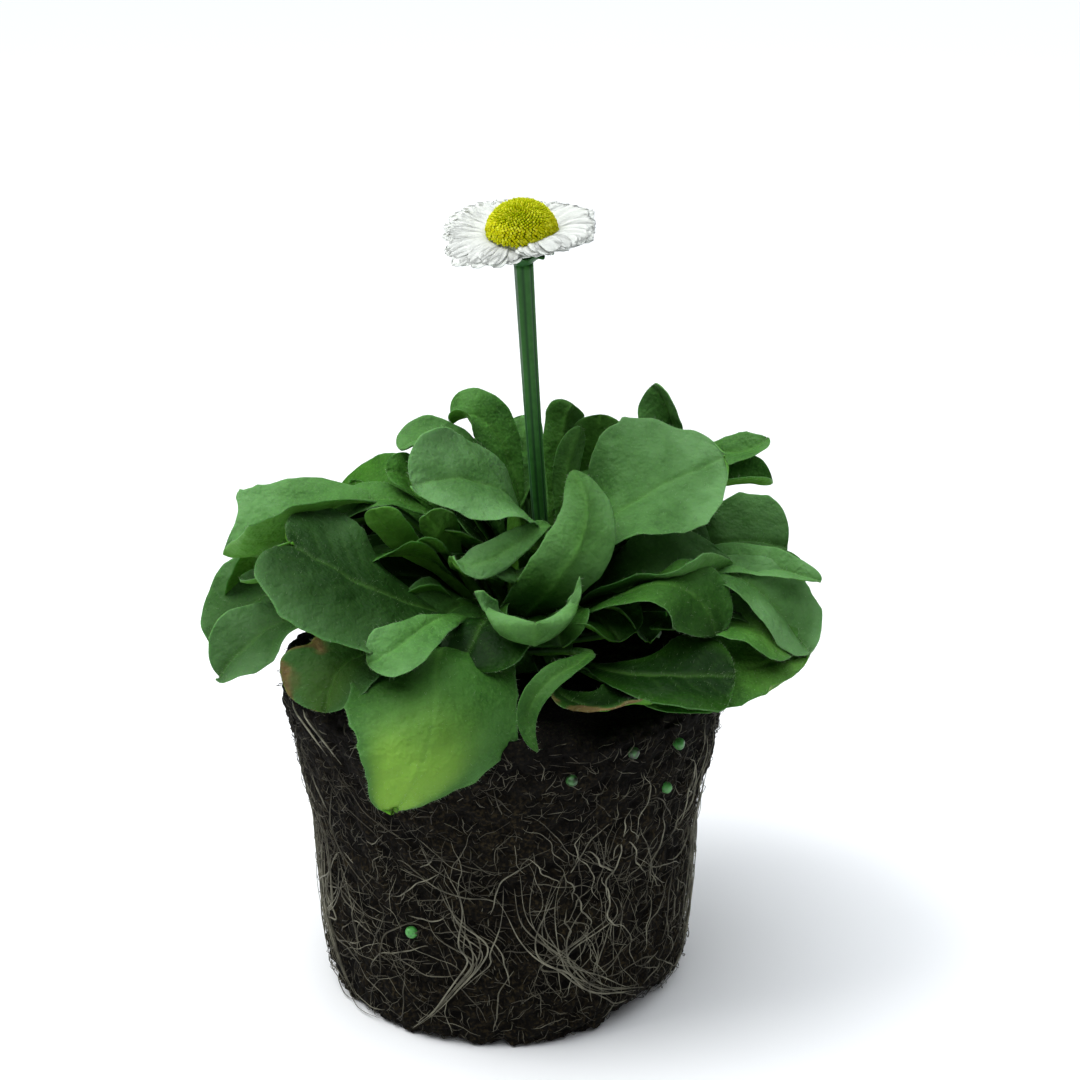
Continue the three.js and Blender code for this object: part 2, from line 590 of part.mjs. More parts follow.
// Stalk, the green cup that carries the head, and the bracts round it, all one growth
function stalkWithCup() {
  const cupTop = PLATE.under - GAP;
  const cup = [[-5.6, 2], [-4.4, 2.6], [-2.6, 4.6], [cupTop, 6]].map(([z, r]) =>
    levelRing(16, () => r, () => z).map(onHead));
  const bracts = Array.from({ length: BRACTS }, (_, k) => tongue({
    heading: (2 * Math.PI * k) / BRACTS,
    root: 3.6,
    reach: 7.8,
    width: 2.2,
    profile: (s) => -2.8 + 1.6 * s - 1.1 * s ** 3,
    thickness: 0.7,
  }));
  const clear = loft([cupTop, 3].map((z) => levelRing(16, () => 9.5, () => z).map(onHead)));
  return largest(joined([stalk(0), loft(cup), ...bracts]).subtract(clear));
}

// Grains of feed

function grainAt([turn, z], radius) {
  const angle = radians(turn - 90);
  const r = ballRadius(turn, z) - GRAIN_SUNK + 0.5 * GRAIN_RADIUS;
  const ball = new THREE.SphereGeometry(radius, 7, 5);
  return solidFrom(ball.translate(r * Math.cos(angle), r * Math.sin(angle), z));
}

// The plant

const plant = new THREE.Group();
const headRays = rays();
plant.add(
  mesh('root_ball', soil(), FINISH.peat),
  mesh('roots', rootNet(), FINISH.root),
  mesh('leaf_rosette', rosette(), FINISH.leaf),
  mesh('flower_stalk', stalkWithCup().subtract(headRays), FINISH.stalk),
  mesh('ray_florets', headRays, FINISH.ray),
  mesh('flower_disc', disc(), FINISH.disc),
);
GRAINS.forEach((place, k) => {
  plant.add(mesh(`feed_grain_${k + 1}`, grainAt(place, GRAIN_RADIUS), FINISH.grain));
});

export default plant;
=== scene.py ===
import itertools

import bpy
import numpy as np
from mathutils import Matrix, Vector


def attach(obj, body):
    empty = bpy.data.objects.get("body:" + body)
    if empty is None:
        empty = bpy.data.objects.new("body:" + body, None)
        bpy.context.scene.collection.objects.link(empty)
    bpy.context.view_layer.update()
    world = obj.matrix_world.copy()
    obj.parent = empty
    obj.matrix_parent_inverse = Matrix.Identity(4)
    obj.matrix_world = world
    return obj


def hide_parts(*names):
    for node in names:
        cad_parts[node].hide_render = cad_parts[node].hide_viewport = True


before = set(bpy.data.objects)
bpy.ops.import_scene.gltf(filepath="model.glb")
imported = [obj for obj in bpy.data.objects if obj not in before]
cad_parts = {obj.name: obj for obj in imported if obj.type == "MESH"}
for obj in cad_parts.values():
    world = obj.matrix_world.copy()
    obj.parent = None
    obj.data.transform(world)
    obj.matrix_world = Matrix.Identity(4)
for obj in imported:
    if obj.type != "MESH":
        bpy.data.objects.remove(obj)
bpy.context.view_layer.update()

# The looks of an English daisy that was lifted out of its pot: crumbly peat held by its roots,
# a rosette of downy spoon-shaped leaves and one white flower on a ridged stalk. Lengths are in
# millimetres until a mesh is made, +Z is up and the front is towards -Y.

MM = 0.001

# Root ball, as the part's source has it: [radius, height] up its side
BALL_PROFILE = np.array([
    [36.5, 0], [38.4, 0.8], [39.2, 3.6], [39.5, 8], [39.7, 13], [40.2, 23], [40.8, 37],
    [43.8, 51], [46.3, 63], [47.5, 69.5], [46.3, 71.3],
])
SOIL_TOP = 72.5
SOIL_COLUMNS = 360
FOOT_RADIUS = 39.0
MIDDLE_RADIUS = 43.0

# Chip out of its foot, with turn and spread in degrees round from the front
CHIP = dict(turn=48, spread=15, depth=5, height=7)

CROWN = np.array([3.0, 0.0, 75.0])
CROWN_RADIUS = 11.0
CROWN_HEIGHT = 13.0

LEAF_STALK_WIDTH = 2.2
LEAF_STALK_THICKNESS = 1.5
LEAF_THICKNESS = 0.45
HAIR_RADIUS = 0.018
HAIRS_PER_SQUARE_MM = 0.28

STALK_PATH = np.array([
    [9.6, 3, 77], [8.2, 1, 92], [7.1, 0, 106], [5.5, -3.5, 132], [4.2, -7.4, 156.8]])
STALK_RADIUS = (1.4, 1.85)
HEAD = np.array([3.9, -8.2, 161.8])
HEAD_TILT = np.radians(12)
DISC_RADIUS = 7.0
DISC_HEIGHT = 7.0
FLORETS = 1100
GOLDEN_ANGLE = np.radians(137.508)
RAY_ROOT = 5.2
RAY_LAYERS = 3
RAYS_PER_LAYER = 24
RAY_HALF_WIDTH = 2.1
RAY_THICKNESS = 0.22
BRACTS = 13

# Heights on the head of the plate that the rays grow from, and the gap to cup and dome
PLATE_UNDER = -0.6
PLATE_OVER = 0.8
PLATE_GAP = 0.35

# The white rays round the head: [degrees from +X, distance out, height at the end, arch between]
RAY_ENDS = np.array([
    [-180, 15.3, -0.3, 0.4], [-165, 15.5, -1.3, 0.5], [-150, 15.4, -2.2, 0.5],
    [-140, 14.4, -2.2, 0.5], [-128, 12.4, -1.5, 0.4], [-115, 10.2, -1.2, 0.2],
    [-104, 9.4, -1.3, 0], [-93, 8, -0.8, 0], [-86, 8.4, 0, 0.3], [-80, 9.3, 0.4, 0.7],
    [-60, 10.9, 1.1, 1.6], [-40, 12.8, 1.5, 1.8], [-20, 14, 1.4, 1.5], [10, 14.5, 1.7, 0.8],
    [30, 15.8, 1.9, 0.5], [50, 15.5, 1.5, 0.4], [75, 15, 1.4, 0.4], [84, 13.6, 2.4, 0.4],
    [93, 14.8, 1.3, 0.4], [110, 15, 2, 0.4], [130, 15.5, 1.9, 0.4], [155, 15.6, 1, 0.4],
    [180, 15.3, -0.3, 0.4],
])

# Grains of feed in the side of the ball: (turn in degrees from the front, height)
GRAINS = [(-27.5, 25.4), (48.5, 65), (47, 55.2), (33, 67), (17, 63.5)]
GRAIN_DUST = [0.0, 0.35, 0.3, 0.85, 0.85]
GRAIN_RADIUS = 1.2
GRAIN_SUNK = 0.6

# Kinds of root strewn over the ball, with the piece that they go in. A pair (low, range) and a
# triple (low, range, power) stand for low + range * chance ^ power. first is the number of the
# first root's draws. turn and height say where a root starts, heading is its way in degrees from
# level, and bend and sway turn it in degrees. It is lifted off the ball by the low of lift plus up
# to the range times a sine over bow, and tilt lifts its far end by up to so much more.
ROOT_KINDS = [
    ("root_wisps", dict(
        first=0, seed=1, count=2200, rings=5, height=(2, 68, 0.8), length=(2, 8, 2), bend=120,
        sway=14, lift=(-0.6, 1.6), radius=(0.045, 0.06), tone=(0, 0.5, 3))),
    ("root_wisps", dict(
        first=30000, seed=3, count=1400, rings=3, height=(1, 70), length=(1.5, 5, 2), bend=0,
        sway=4, lift=(-0.9, 0.4), bow=(np.pi / 2, np.pi / 2), tilt=1.2, radius=(0.06, 0.1),
        tone=(0, 0.12))),
    ("root_felt", dict(
        first=40000, seed=5, count=1800, rings=6, height=(1, 66), length=(3, 6), bend=260,
        sway=24, lift=(-0.7, 1.2), radius=(0.04, 0.04), tone=(0.05, 0.35, 2))),
    ("root_strands", dict(
        first=5000, seed=2, count=460, rings=18, height=(2, 44, 1.3), heading=(-20, 220),
        length=(6, 20, 1.5), bend=150, sway=12, lift=(-0.3, 1.3), bow=(0.2, 2.9),
        radius=(0.06, 0.1, 1.5), tone=(0.1, 0.7, 1.5))),
    ("root_strands", dict(
        first=7000, seed=4, count=40, rings=24, turn=(14, 48), height=(10, 34),
        heading=(55, 70), length=(6, 16), bend=90, sway=26, lift=(0, 1.1), bow=(0.2, 2.9),
        radius=(0.06, 0.16, 2), tone=(0.4, 0.6), tone_draw=0.7)),
]

# Cords of root near the foot and the ways they part, as [turn in degrees from the front, height],
# the ends of two dry straws, and mats of straight pale roots, as [turn, lowest, highest]
FAN_TRUNKS = [
    [[-29, 2], [-20, 8.4], [-12, 16.2], [-8, 20.7], [-8, 25]],
    [[46, 7], [30.5, 11.9], [20, 17.7], [14.5, 21.9]],
]
FAN_BRANCHES = [
    [[[-6.5, 32], [-8, 42]], [[-14.5, 30.4], [-18, 36.5]], [[-17.5, 29.2], [-21, 33]]],
    [[[15, 29], [20.5, 37]], [[9.5, 29.7], [11, 40.5]], [[4.5, 30], [0, 39]],
     [[29, 28.7], [23, 34]]],
]
STRAWS = [[[-62, 70.5], [-47, 63]], [[-56, 70.5], [-42, 62.5]]]
MATS = [
    [63, 40, 66], [75, 4, 50], [-74, 3, 40], [-84, 10, 60], [120, 5, 60], [165, 8, 50],
    [205, 3, 62], [250, 6, 52],
]

# The leaves that show, which grow where the part's source has them. through lists the places that
# the midrib passes at a third, two thirds and the whole of its length. roll banks the blade, fold
# lifts its halves and curl bends them on, in degrees, either one number or (left, right). stem is
# the share that is bare stalk, full and blunt shape the spoon, and heading and turn set the way
# that the blade faces. wave is the height of the waves in its edge, rough how uneven the margin
# is, lobed how far the margins reach past the tip, and nicks are (side, share of the length, span,
# depth) of cuts in the margin, where negative depths stand out. tone is how much pale bloom the
# blade has, which is partly a painted highlight on its lit tips and margins; age is how much
# painted shade darkens it; back is how much paler its underside is, set low where the underside
# lies in shade, as painted shade; yellow is how far its tip has turned, and withered is (side,
# share of the half width) past which its margin is dry.
SHOWN_LEAVES = [
    dict(through=[(-11.5, -32, 87), (-12.5, -51.5, 80.5), (-20, -57.3, 63.3)], width=38,
         stem=0.1, full=0.4, fold=-8, curl=(-48, -6), blunt=4, turn=38, yellow=1, tone=0.4, age=0.3,
         nicks=[(-1, 0.88, 0.14, 3.5), (1, 0.5, 0.15, 1), (1, 0.8, 0.15, 5), (1, 0.92, 0.06, 3),
                (1, 0.98, 0.03, 1.5)],
         lobed=(0, 6), rough=0.3),
    dict(through=[(-9.5, -27, 90.5), (-16, -40, 92.5), (-25, -47, 89)], width=14, stem=0.35,
         roll=18, fold=(10, 8), blunt=5, nicks=[(-1, 0.42, 0.13, -2), (1, 0.75, 0.3, 2.5)],
         tone=0.55, age=0),
    dict(through=[(-2, -18, 86), (-4, -29, 89.5), (-8, -38, 84.5)], width=24, fold=5, curl=-20,
         tone=0, age=1),
    dict(through=[(6, -18, 86), (6.4, -34, 88.5), (6.5, -42, 95)], width=29, fold=2, curl=92,
         blunt=6, tone=0.8, age=0.2, back=0.2),
    dict(through=[(6, -20, 90), (15, -24, 104), (13.5, -17, 117)], width=14, heading=-90,
         stem=0, full=0.6, fold=10, blunt=1.3, tone=0.8, age=0.2, back=0.2),
    dict(through=[(9.4, -15, 105), (1, -22.5, 103), (-9.5, -25, 102.5)], width=7, heading=-120,
         roll=42, fold=-8, tone=0.8, age=0.1),
    dict(through=[(4, -5, 101), (-4, -11, 113), (-17.5, -19, 115)], width=25, stem=0,
         full=0.55, roll=32, fold=8, wave=1.4, tone=1.1, age=0.2),
    dict(through=[(-1, 3, 97), (-10, 5, 113.5), (-21, 2, 115.5)], width=13, full=0.5, roll=20),
    dict(through=[(3, 10, 102), (-3, 13, 117.5), (-11, 12, 118.5)], width=12, roll=20),
    dict(through=[(4, 14, 95), (4, 20, 108), (3, 25, 116)], width=10, heading=80),
    dict(through=[(10, 5, 100), (12, 8, 115), (14, 8, 123.5)], width=10, heading=-90, fold=20,
         age=0.5, back=0.1),
    dict(through=[(11, -2, 98), (12.5, -1, 110), (15.5, 1, 121)], width=6, heading=-30, roll=50,
         age=0.5, back=0.1),
    dict(through=[(14, 8, 98), (19, 10, 112), (20, 10, 121)], width=12, heading=-100, fold=-15,
         age=0.4, back=0.2),
    dict(through=[(19.5, -11, 103), (31.5, -9, 111.5), (44.5, -5, 116.5)], width=35, stem=0.1,
         full=0.8, roll=-42, fold=(14, 2), tone=1, age=0.1, wave=0.8, blunt=3,
         nicks=[(-1, 0.88, 0.14, 3), (1, 0.6, 0.3, 5), (1, 0.92, 0.15, 4)]),
    dict(through=[(27, 13, 103), (35, 14, 116), (31, 15, 126)], width=14, heading=60, fold=35),
    dict(through=[(30, 8, 106), (45, 5, 114), (54, 5, 117.5)], width=9, roll=-20),
    dict(through=[(30, 4, 100), (45, 2, 108), (55, 0, 110)], width=12, roll=-20, fold=45),
    dict(through=[(30, 3, 90), (46, 4, 94.8), (59, 4, 94)], width=24, roll=-32, tone=0.5, age=0.3),
    dict(through=[(22, -13, 90), (34, -15, 92), (46, -13, 97)], width=28, stem=0.1, full=0.7,
         roll=-26, fold=(42, 60), tone=0.6, age=0.2, back=0.3),
    dict(through=[(30, -9, 92), (48, -12, 96), (64, -14, 93)], width=9, full=0.5, blunt=1.2,
         roll=-25, tone=0.7, age=0),
    dict(through=[(21, -22, 92), (33.5, -26, 97), (42, -28, 87)], width=20, stem=0.15, roll=-20,
         fold=(-20, 10), tone=0.2, back=0),
    dict(through=[(39, -14, 94.5), (53, -17, 90.5), (62, -19, 79.5)], width=18, stem=0.2,
         roll=-25, tone=1.1, age=0.2),
    dict(through=[(30, -16, 84), (46, -20.5, 87), (58, -21, 81)], width=20, roll=-20,
         fold=(0, 20), tone=0.2, age=0.1, yellow=0.15),
    dict(through=[(27, -29, 76.2), (43.7, -30, 78.8), (61.6, -20, 79.5)], width=26, full=0.6,
         roll=-26, fold=5, blunt=1.3, tone=0.2, age=0, yellow=0.2,
         nicks=[(1, 0.5, 0.3, 2), (1, 0.85, 0.25, 6)]),
    dict(through=[(22, -30, 80), (34, -36, 82), (45, -35, 81)], width=23, stem=0.2, roll=-22,
         fold=2, blunt=3, rough=0.3, tone=0, age=1),
    dict(through=[(16.6, -38, 87), (8.5, -50, 86), (7, -55, 74.5)], width=5, full=0.4, blunt=0.8,
         fold=(25, -30), roll=25, tone=0.4, age=0.5),
    dict(through=[(11, -34, 77.5), (18, -42, 78), (29, -42, 79)], width=19, age=0.9,
         withered=(1, 0.85)),
    dict(through=[(-25, -6, 107), (-41, -11.5, 103.5), (-56, -15, 99.5)], width=31, fold=(34, 40),
         tone=0.7, age=0),
    dict(through=[(-17, -25, 92), (-29, -32, 100.5), (-40, -31, 107)], width=40, stem=0.15,
         full=0.55, roll=25, fold=(-12, 16), curl=(-20, -6), blunt=6, lobed=8, tone=0.8, age=0.82,
         nicks=[(-1, 0.9, 0.2, 2.5), (-1, 0.5, 0.3, 1.5)]),
    dict(through=[(-25, 0, 86), (-45, -3, 87), (-61, -3, 75)], width=25, roll=30, tone=0.6,
         age=0.6),
    dict(through=[(-25, -10, 92), (-40, -13, 95), (-53, -14, 93)], width=9, tone=0.8, age=0.4),
    dict(through=[(-28, -15, 86), (-45, -20, 86), (-57, -22, 75.5)], width=16, roll=15,
         wave=2, blunt=1.2, tone=1, age=0.6),
    dict(through=[(-20, -23, 82), (-30, -33.5, 84), (-34, -40.5, 76)], width=24, yellow=0.12,
         age=0.7, nicks=[(1, 0.7, 0.05, 2), (1, 0.5, 0.07, 3)], withered=(1, 0.8)),
    dict(through=[(-12, -8, 92), (-21, -12, 102), (-25, -15, 109)], width=8, heading=-90),
    dict(through=[(-8, -8, 92), (-12, -10, 100), (-15.5, -12, 106.5)], width=9, heading=-90,
         fold=30),
    dict(through=[(-12, -4, 100), (-24, -6, 108), (-35, -8, 102)], width=12, roll=10),
    dict(through=[(-8, 2, 96), (-17, 1, 108), (-24, 0, 112)], width=10, roll=30),
]

# Leaves in the shade between these, as (through, width, roll), darkened there with painted shade
SHADED_LEAVES = [
    ([(-10, 3, 86), (-26, 2, 95), (-44, -2, 100)], 21, 18),
    ([(-5, 4, 84), (-16, 2, 91), (-28, -3, 92)], 17, 24),
    ([(-3, 0, 88), (-6, -4, 96), (-12, -10, 103)], 15, 0),
    ([(-8, -4, 86), (-19, -8, 92), (-31, -14, 93)], 18, 24),
    ([(2, 6, 90), (-2, 8, 100), (-8, 9, 107)], 14, 0),
    ([(-2, 3, 93), (-7, 4, 104), (-13, 4, 112)], 15, 0),
    ([(-1, 2, 89), (-5, 3, 96.5), (-10, 3, 101)], 13, 0),
    ([(26, -8, 86), (42, -12, 89), (55, -13, 86)], 18, -24),
]
SHOWN_LEAVES += [
    dict(through=through, width=width, roll=roll, stem=0.1, tone=0.1, age=0.9)
    for through, width, roll in SHADED_LEAVES
]

# The leaves behind, in tiers that fan between two headings, and the young ones at the heart
BACK_TIERS = [
    dict(count=8, first=8, last=172, reach=60, arch=90, tip=79, width=27),
    dict(count=6, first=22, last=160, reach=43, arch=104, tip=98, width=22),
    dict(count=3, first=48, last=132, reach=22, arch=108, tip=108, width=14),
]
HEART_LEAVES = 4

# Smaller leaves deep in the rosette, which fill it
INNER_TIERS = [
    dict(count=9, first=-165, last=-15, reach=31, arch=86, tip=83, width=17),
    dict(count=11, first=5, last=340, reach=23, arch=97, tip=97, width=14),
    dict(count=11, first=-5, last=205, reach=38, arch=97, tip=92, width=20),
]


# Numbers and noise


def chance(k):
    """A repeatable number from 0 to 1 for each k: the fraction of 43758.5453 sin(12.9898 k)."""
    s = np.sin(np.asarray(k, float) * 12.9898) * 43758.5453
    return s - np.floor(s)


def lattice(cells, seed):
    """A number from 0 to 1 for each whole-number cell, from its three numbers mixed as bits."""
    x, y, z = (cells[..., axis].astype(np.uint32) for axis in range(3))
    h = x * np.uint32(73856093) ^ y * np.uint32(19349663) ^ z * np.uint32(83492791)
    h = h ^ np.uint32(seed * 2654435761 % 2**32)
    for shift in (15, 13, 16):
        h = (h ^ (h >> np.uint32(shift))) * np.uint32(2246822519)
    return (h >> np.uint32(8)) / 2.0**24


def cloud(points, size, seed):
    """Smooth noise from -1 to 1: chances at the corners of cubes of a size, blended by
    3f² - 2f³ of the share f of the way across."""
    place = points / size
    cell = np.floor(place).astype(np.int64)
    f = place - cell
    f = f * f * (3 - 2 * f)
    total = np.zeros(points.shape[:-1])
    for corner in itertools.product((0, 1), repeat=3):
        share = np.prod(np.where(corner, f, 1 - f), axis=-1)
        total += share * lattice(cell + corner, seed)
    return 2 * total - 1


def granules(points, size, seed):
    """Heights of round crumbs, 0 to 1: a crumb lies somewhere in each cube of a size, and a point
    takes the highest of the square roots of 1 - (distance / crumb radius)² near it."""
    place = points / size
    cell = np.floor(place).astype(np.int64)
    height = np.zeros(points.shape[:-1])
    for step in itertools.product((-1, 0, 1), repeat=3):
        near = cell + step
        middle = near + np.stack([lattice(near, seed + axis) for axis in range(3)], -1)
        radius = 0.45 + 0.35 * lattice(near, seed + 3)
        away = ((place - middle) ** 2).sum(-1) / radius**2
        height = np.maximum(height, radius / 0.8 * np.sqrt(np.clip(1 - away, 0, None)))
    return height


def unit(vectors):
    """The same directions with length 1."""
    return vectors / np.maximum(np.linalg.norm(vectors, axis=-1, keepdims=True), 1e-9)


def lerp(a, b, share):
    """The value that lies a share of the way from a to b."""
    return a + (b - a) * share


# Meshes


def round_angles(sides):
    """Evenly spaced angles once round."""
    return np.arange(sides) * 2 * np.pi / sides


def turned(r, z, angle):
    """A profile turned about the vertical: (r cos a, r sin a, z), with r and z one number a row
    or one a point."""
    return np.stack([r * np.cos(angle), r * np.sin(angle), z + 0 * angle], -1)


def grid_quads(rows, columns, wrap):
    """Corner numbers of the quads of a grid of points; wrap joins the last column to the first."""
    i = np.arange(rows - 1)[:, None] * columns
    j = np.arange(columns if wrap else columns - 1)[None, :]
    k = (j + 1) % columns
    return np.stack([i + j, i + k, i + columns + k, i + columns + j], -1).reshape(-1, 4)


def ring_cap(start, sides):
    """Quads straight across a ring with an even number of sides."""
    i = np.arange(sides // 2 - 1)
    return start + np.stack([i, i + 1, sides - 2 - i, sides - 1 - i], -1)


def tube_faces(rings, sides):
    """Quads of a closed tube of rings, each ring anticlockwise seen from the end it runs to."""
    return np.concatenate([
        grid_quads(rings, sides, True),
        ring_cap(0, sides)[:, ::-1],
        ring_cap((rings - 1) * sides, sides),
    ])


class Shell:
    """Points in millimetres, faces by corner numbers, and a value per point for each attribute."""

    def __init__(self):
        self.points, self.faces, self.values, self.count = [], [], [], 0

    def add(self, points, faces, **values):
        """Adds a closed surface; each value is one number or an array as long as the points."""
        points = points.reshape(-1, 3)
        self.points.append(points)
        self.faces.append(faces + self.count)
        self.values.append({
            name: np.broadcast_to(value, len(points)) if np.ndim(value) == 0 else value.ravel()
            for name, value in values.items()
        })
        self.count += len(points)

    def add_copies(self, points, faces, **values):
        """Adds a surface for each entry of points (copies, points each, 3), with equal faces."""
        copies, each = points.shape[:2]
        starts = np.arange(copies)[:, None, None] * each
        spread = {
            name: np.broadcast_to(value.reshape(copies, -1), (copies, each))
            for name, value in values.items()
        }
        self.add(points, (faces[None] + starts).reshape(-1, faces.shape[1]), **spread)

    def make(self, name, material, slot, nodes=(), smooth=True):
        """Makes the object: a mesh in metres that rides on the root body and stands for nodes."""
        points = np.concatenate(self.points)
        corners = np.concatenate([faces.ravel() for faces in self.faces])
        sizes = np.concatenate([np.full(len(faces), faces.shape[1]) for faces in self.faces])
        mesh = bpy.data.meshes.new(name)
        mesh.vertices.add(len(points))
        mesh.vertices.foreach_set("co", (points * MM).astype(np.float32).ravel())
        mesh.loops.add(len(corners))
        mesh.loops.foreach_set("vertex_index", corners.astype(np.int32))
        mesh.polygons.add(len(sizes))
        mesh.polygons.foreach_set("loop_start", (np.cumsum(sizes) - sizes).astype(np.int32))
        mesh.polygons.foreach_set("use_smooth", np.full(len(sizes), smooth))
        mesh.update(calc_edges=True)
        for key in sorted({key for part in self.values for key in part}):
            parts = zip(self.values, self.points)
            value = np.concatenate([part.get(key, np.zeros(len(p))) for part, p in parts])
            attribute = mesh.attributes.new(key, "FLOAT", "POINT")
            attribute.data.foreach_set("value", value.astype(np.float32))
        mesh.materials.append(material)
        piece = bpy.data.objects.new(name, mesh)
        bpy.context.scene.collection.objects.link(piece)
        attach(piece, "root")
        if nodes:
            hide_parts(*nodes)


def tube(paths, radii, outward, sides):
    """Round tubes along paths (copies, rings, 3): each ring is its middle plus the radius times
    cos and sin of the angle along the outward direction and the direction square to it."""
    ahead = unit(np.gradient(paths, axis=1))
    right = unit(np.cross(outward, ahead))
    outward = np.cross(ahead, right)
    angle = round_angles(sides)
    ring = outward[:, :, None] * np.cos(angle)[:, None] + right[:, :, None] * np.sin(angle)[:, None]
    return (paths[:, :, None] + radii[:, :, None, None] * ring).reshape(len(paths), -1, 3)


# Materials


def linear(hex_colour):
    """An sRGB hex colour as linear RGBA."""
    parts = [int(hex_colour[k:k + 2], 16) / 255 for k in (1, 3, 5)]
    return [p / 12.92 if p <= 0.04045 else ((p + 0.055) / 1.055) ** 2.4 for p in parts] + [1]


def add(tree, kind, sockets=(), **settings):
    """Adds a shader node of a kind with its settings; sockets pairs an input's name or number with
    what feeds it, which is a value or another node's output."""
    node = tree.nodes.new("ShaderNode" + kind)
    for key, value in settings.items():
        setattr(node, key, value)
    for key, value in dict(sockets).items():
        if isinstance(value, bpy.types.NodeSocket):
            tree.links.new(value, node.inputs[key])
        else:
            node.inputs[key].default_value = value
    return node


def make_material(name, finish):
    """A material whose shader has the sockets that finish returns for the material's tree."""
    material = bpy.data.materials.new(name)
    material.use_nodes = True
    tree = material.node_tree
    tree.nodes.clear()
    shader = add(tree, "BsdfPrincipled", finish(tree))
    add(tree, "OutputMaterial", {"Surface": shader.outputs[0]})
    return material


def per(millimetres):
    """Texture scale, in turns per metre, for a pattern with this spacing."""
    return 1000 / millimetres


def leaf_finish(tree):
    """Living daisy leaf: soft and downy, dull with next to no gloss. Its green is mottled and
    flecked, and over it lie in turn the pale bloom, which is a painted highlight towards the lit
    tips and margins, painted shade, the yellow of a spent tip, the paler veins, the paler
    underside, brightened as painted light through the blade and held back as painted shade where it
    lies in shade, the pale margin, partly a painted highlight where the edge catches the light, and
    the brown of a dry edge. The skin is creased, with a net of veins and small cells. The blade is
    thin, so light spreads in it."""
    place = add(tree, "TexCoord").outputs["Object"]
    across, under, tone, age, yellow, vein, withered = (
        add(tree, "Attribute", attribute_name=name).outputs["Fac"]
        for name in ("across", "under", "tone", "age", "yellow", "vein", "withered"))
    patches = add(tree, "TexNoise", {"Vector": place, "Scale": per(9), "Detail": 3})
    mottle = add(tree, "TexNoise", {"Vector": place, "Scale": per(1.6), "Detail": 4})
    patch_share = add(tree, "MapRange", {
        "Value": patches.outputs[0], "From Min": 0.35, "From Max": 0.68})
    green = add(tree, "Mix", {
        0: patch_share.outputs[0], 6: linear("#1d480a"), 7: linear("#316210")},
        data_type="RGBA")
    mottle_share = add(tree, "MapRange", {
        "Value": mottle.outputs[0], "From Min": 0.4, "From Max": 0.75, "To Max": 0.4})
    fleck = add(tree, "TexNoise", {"Vector": place, "Scale": per(0.45), "Detail": 2})
    fleck_share = add(tree, "MapRange", {
        "Value": fleck.outputs[0], "From Min": 0.45, "From Max": 0.75, "To Max": 0.5})
    uneven = add(tree, "MapRange", {
        "Value": patches.outputs[0], "From Min": 0.35, "From Max": 0.65, "To Min": 0.55,
        "To Max": 1.25})
    # Pale bloom, stronger towards the tips and margins, partly a painted highlight where they catch
    # the light.
    bloom_and_highlight = add(tree, "Math", {0: tone, 1: uneven.outputs[0]}, operation="MULTIPLY",
                use_clamp=True)
    # Paler underside: its green is brightened as painted light through the blade, and back is set
    # low where an underside lies in shade, as painted shade.
    paler = add(tree, "Math", {0: under, 1: 0.7}, operation="MULTIPLY")
    # Pale margin: partly the pale down along it, partly a painted highlight where the edge catches
    # the light.
    distance = add(tree, "Math", {0: across}, operation="ABSOLUTE")
    rim = add(tree, "MapRange", {
        "Value": distance.outputs[0], "From Min": 0.955, "From Max": 0.995, "To Max": 0.4})
    living = green.outputs[2]
    for share, tint in [
        (mottle_share.outputs[0], "#427822"), (fleck_share.outputs[0], "#4c8030"),
        # The pale tint here carries a painted highlight, and the near-black one painted shade.
        (bloom_and_highlight.outputs[0], "#608c54"), (age, "#0b2504"), (yellow, "#76a03e"),
        (vein, "#5d8c3e"), (paler.outputs[0], "#4f8428"), (rim.outputs[0], "#608a56"),
    ]:
        living = add(tree, "Mix", {0: share, 6: living, 7: linear(tint)},
                     data_type="RGBA").outputs[2]
    dead = add(tree, "Mix", {
        0: mottle.outputs[0], 6: linear("#30291c"), 7: linear("#77653d")}, data_type="RGBA")
    colour = add(tree, "Mix", {
        0: withered, 6: living, 7: dead.outputs[2]}, data_type="RGBA")
    cells = add(tree, "TexVoronoi", {"Vector": place, "Scale": per(0.8)})
    wander = add(tree, "TexNoise", {"Vector": place, "Scale": per(3), "Detail": 2})
    moved = add(tree, "Mix", {0: 0.002, 4: place, 5: wander.outputs["Color"]},
                data_type="VECTOR")
    net = add(tree, "TexVoronoi", {"Vector": moved.outputs[1], "Scale": per(2.6)},
              feature="DISTANCE_TO_EDGE")
    web = add(tree, "MapRange", {
        "Value": net.outputs["Distance"], "From Max": 0.25})
    crinkle = add(tree, "TexNoise", {"Vector": place, "Scale": per(2.2), "Detail": 5})
    creased = add(tree, "Bump", {
        "Height": crinkle.outputs[0], "Strength": 0.65, "Distance": 0.0007})
    netted = add(tree, "Bump", {
        "Height": web.outputs[0], "Normal": creased.outputs[0], "Strength": 0.3,
        "Distance": 0.0002})
    bump = add(tree, "Bump", {
        "Height": cells.outputs["Distance"], "Normal": netted.outputs[0], "Strength": 0.5,
        "Distance": 0.0002})
    return {
        "Base Color": colour.outputs[2], "Normal": bump.outputs[0], "Roughness": 0.55,
        "Specular IOR Level": 0.06, "Subsurface Weight": 0.15, "Subsurface Scale": 0.001,
        "Subsurface Radius": (0.3, 1.0, 0.1)}


def hair_finish(tree):
    """Down on the leaves: fine clear hairs that take on the leaf's colour and pale where they
    catch the light."""
    return {
        "Base Color": linear("#8fa382"), "Roughness": 0.5, "Specular IOR Level": 0.3}


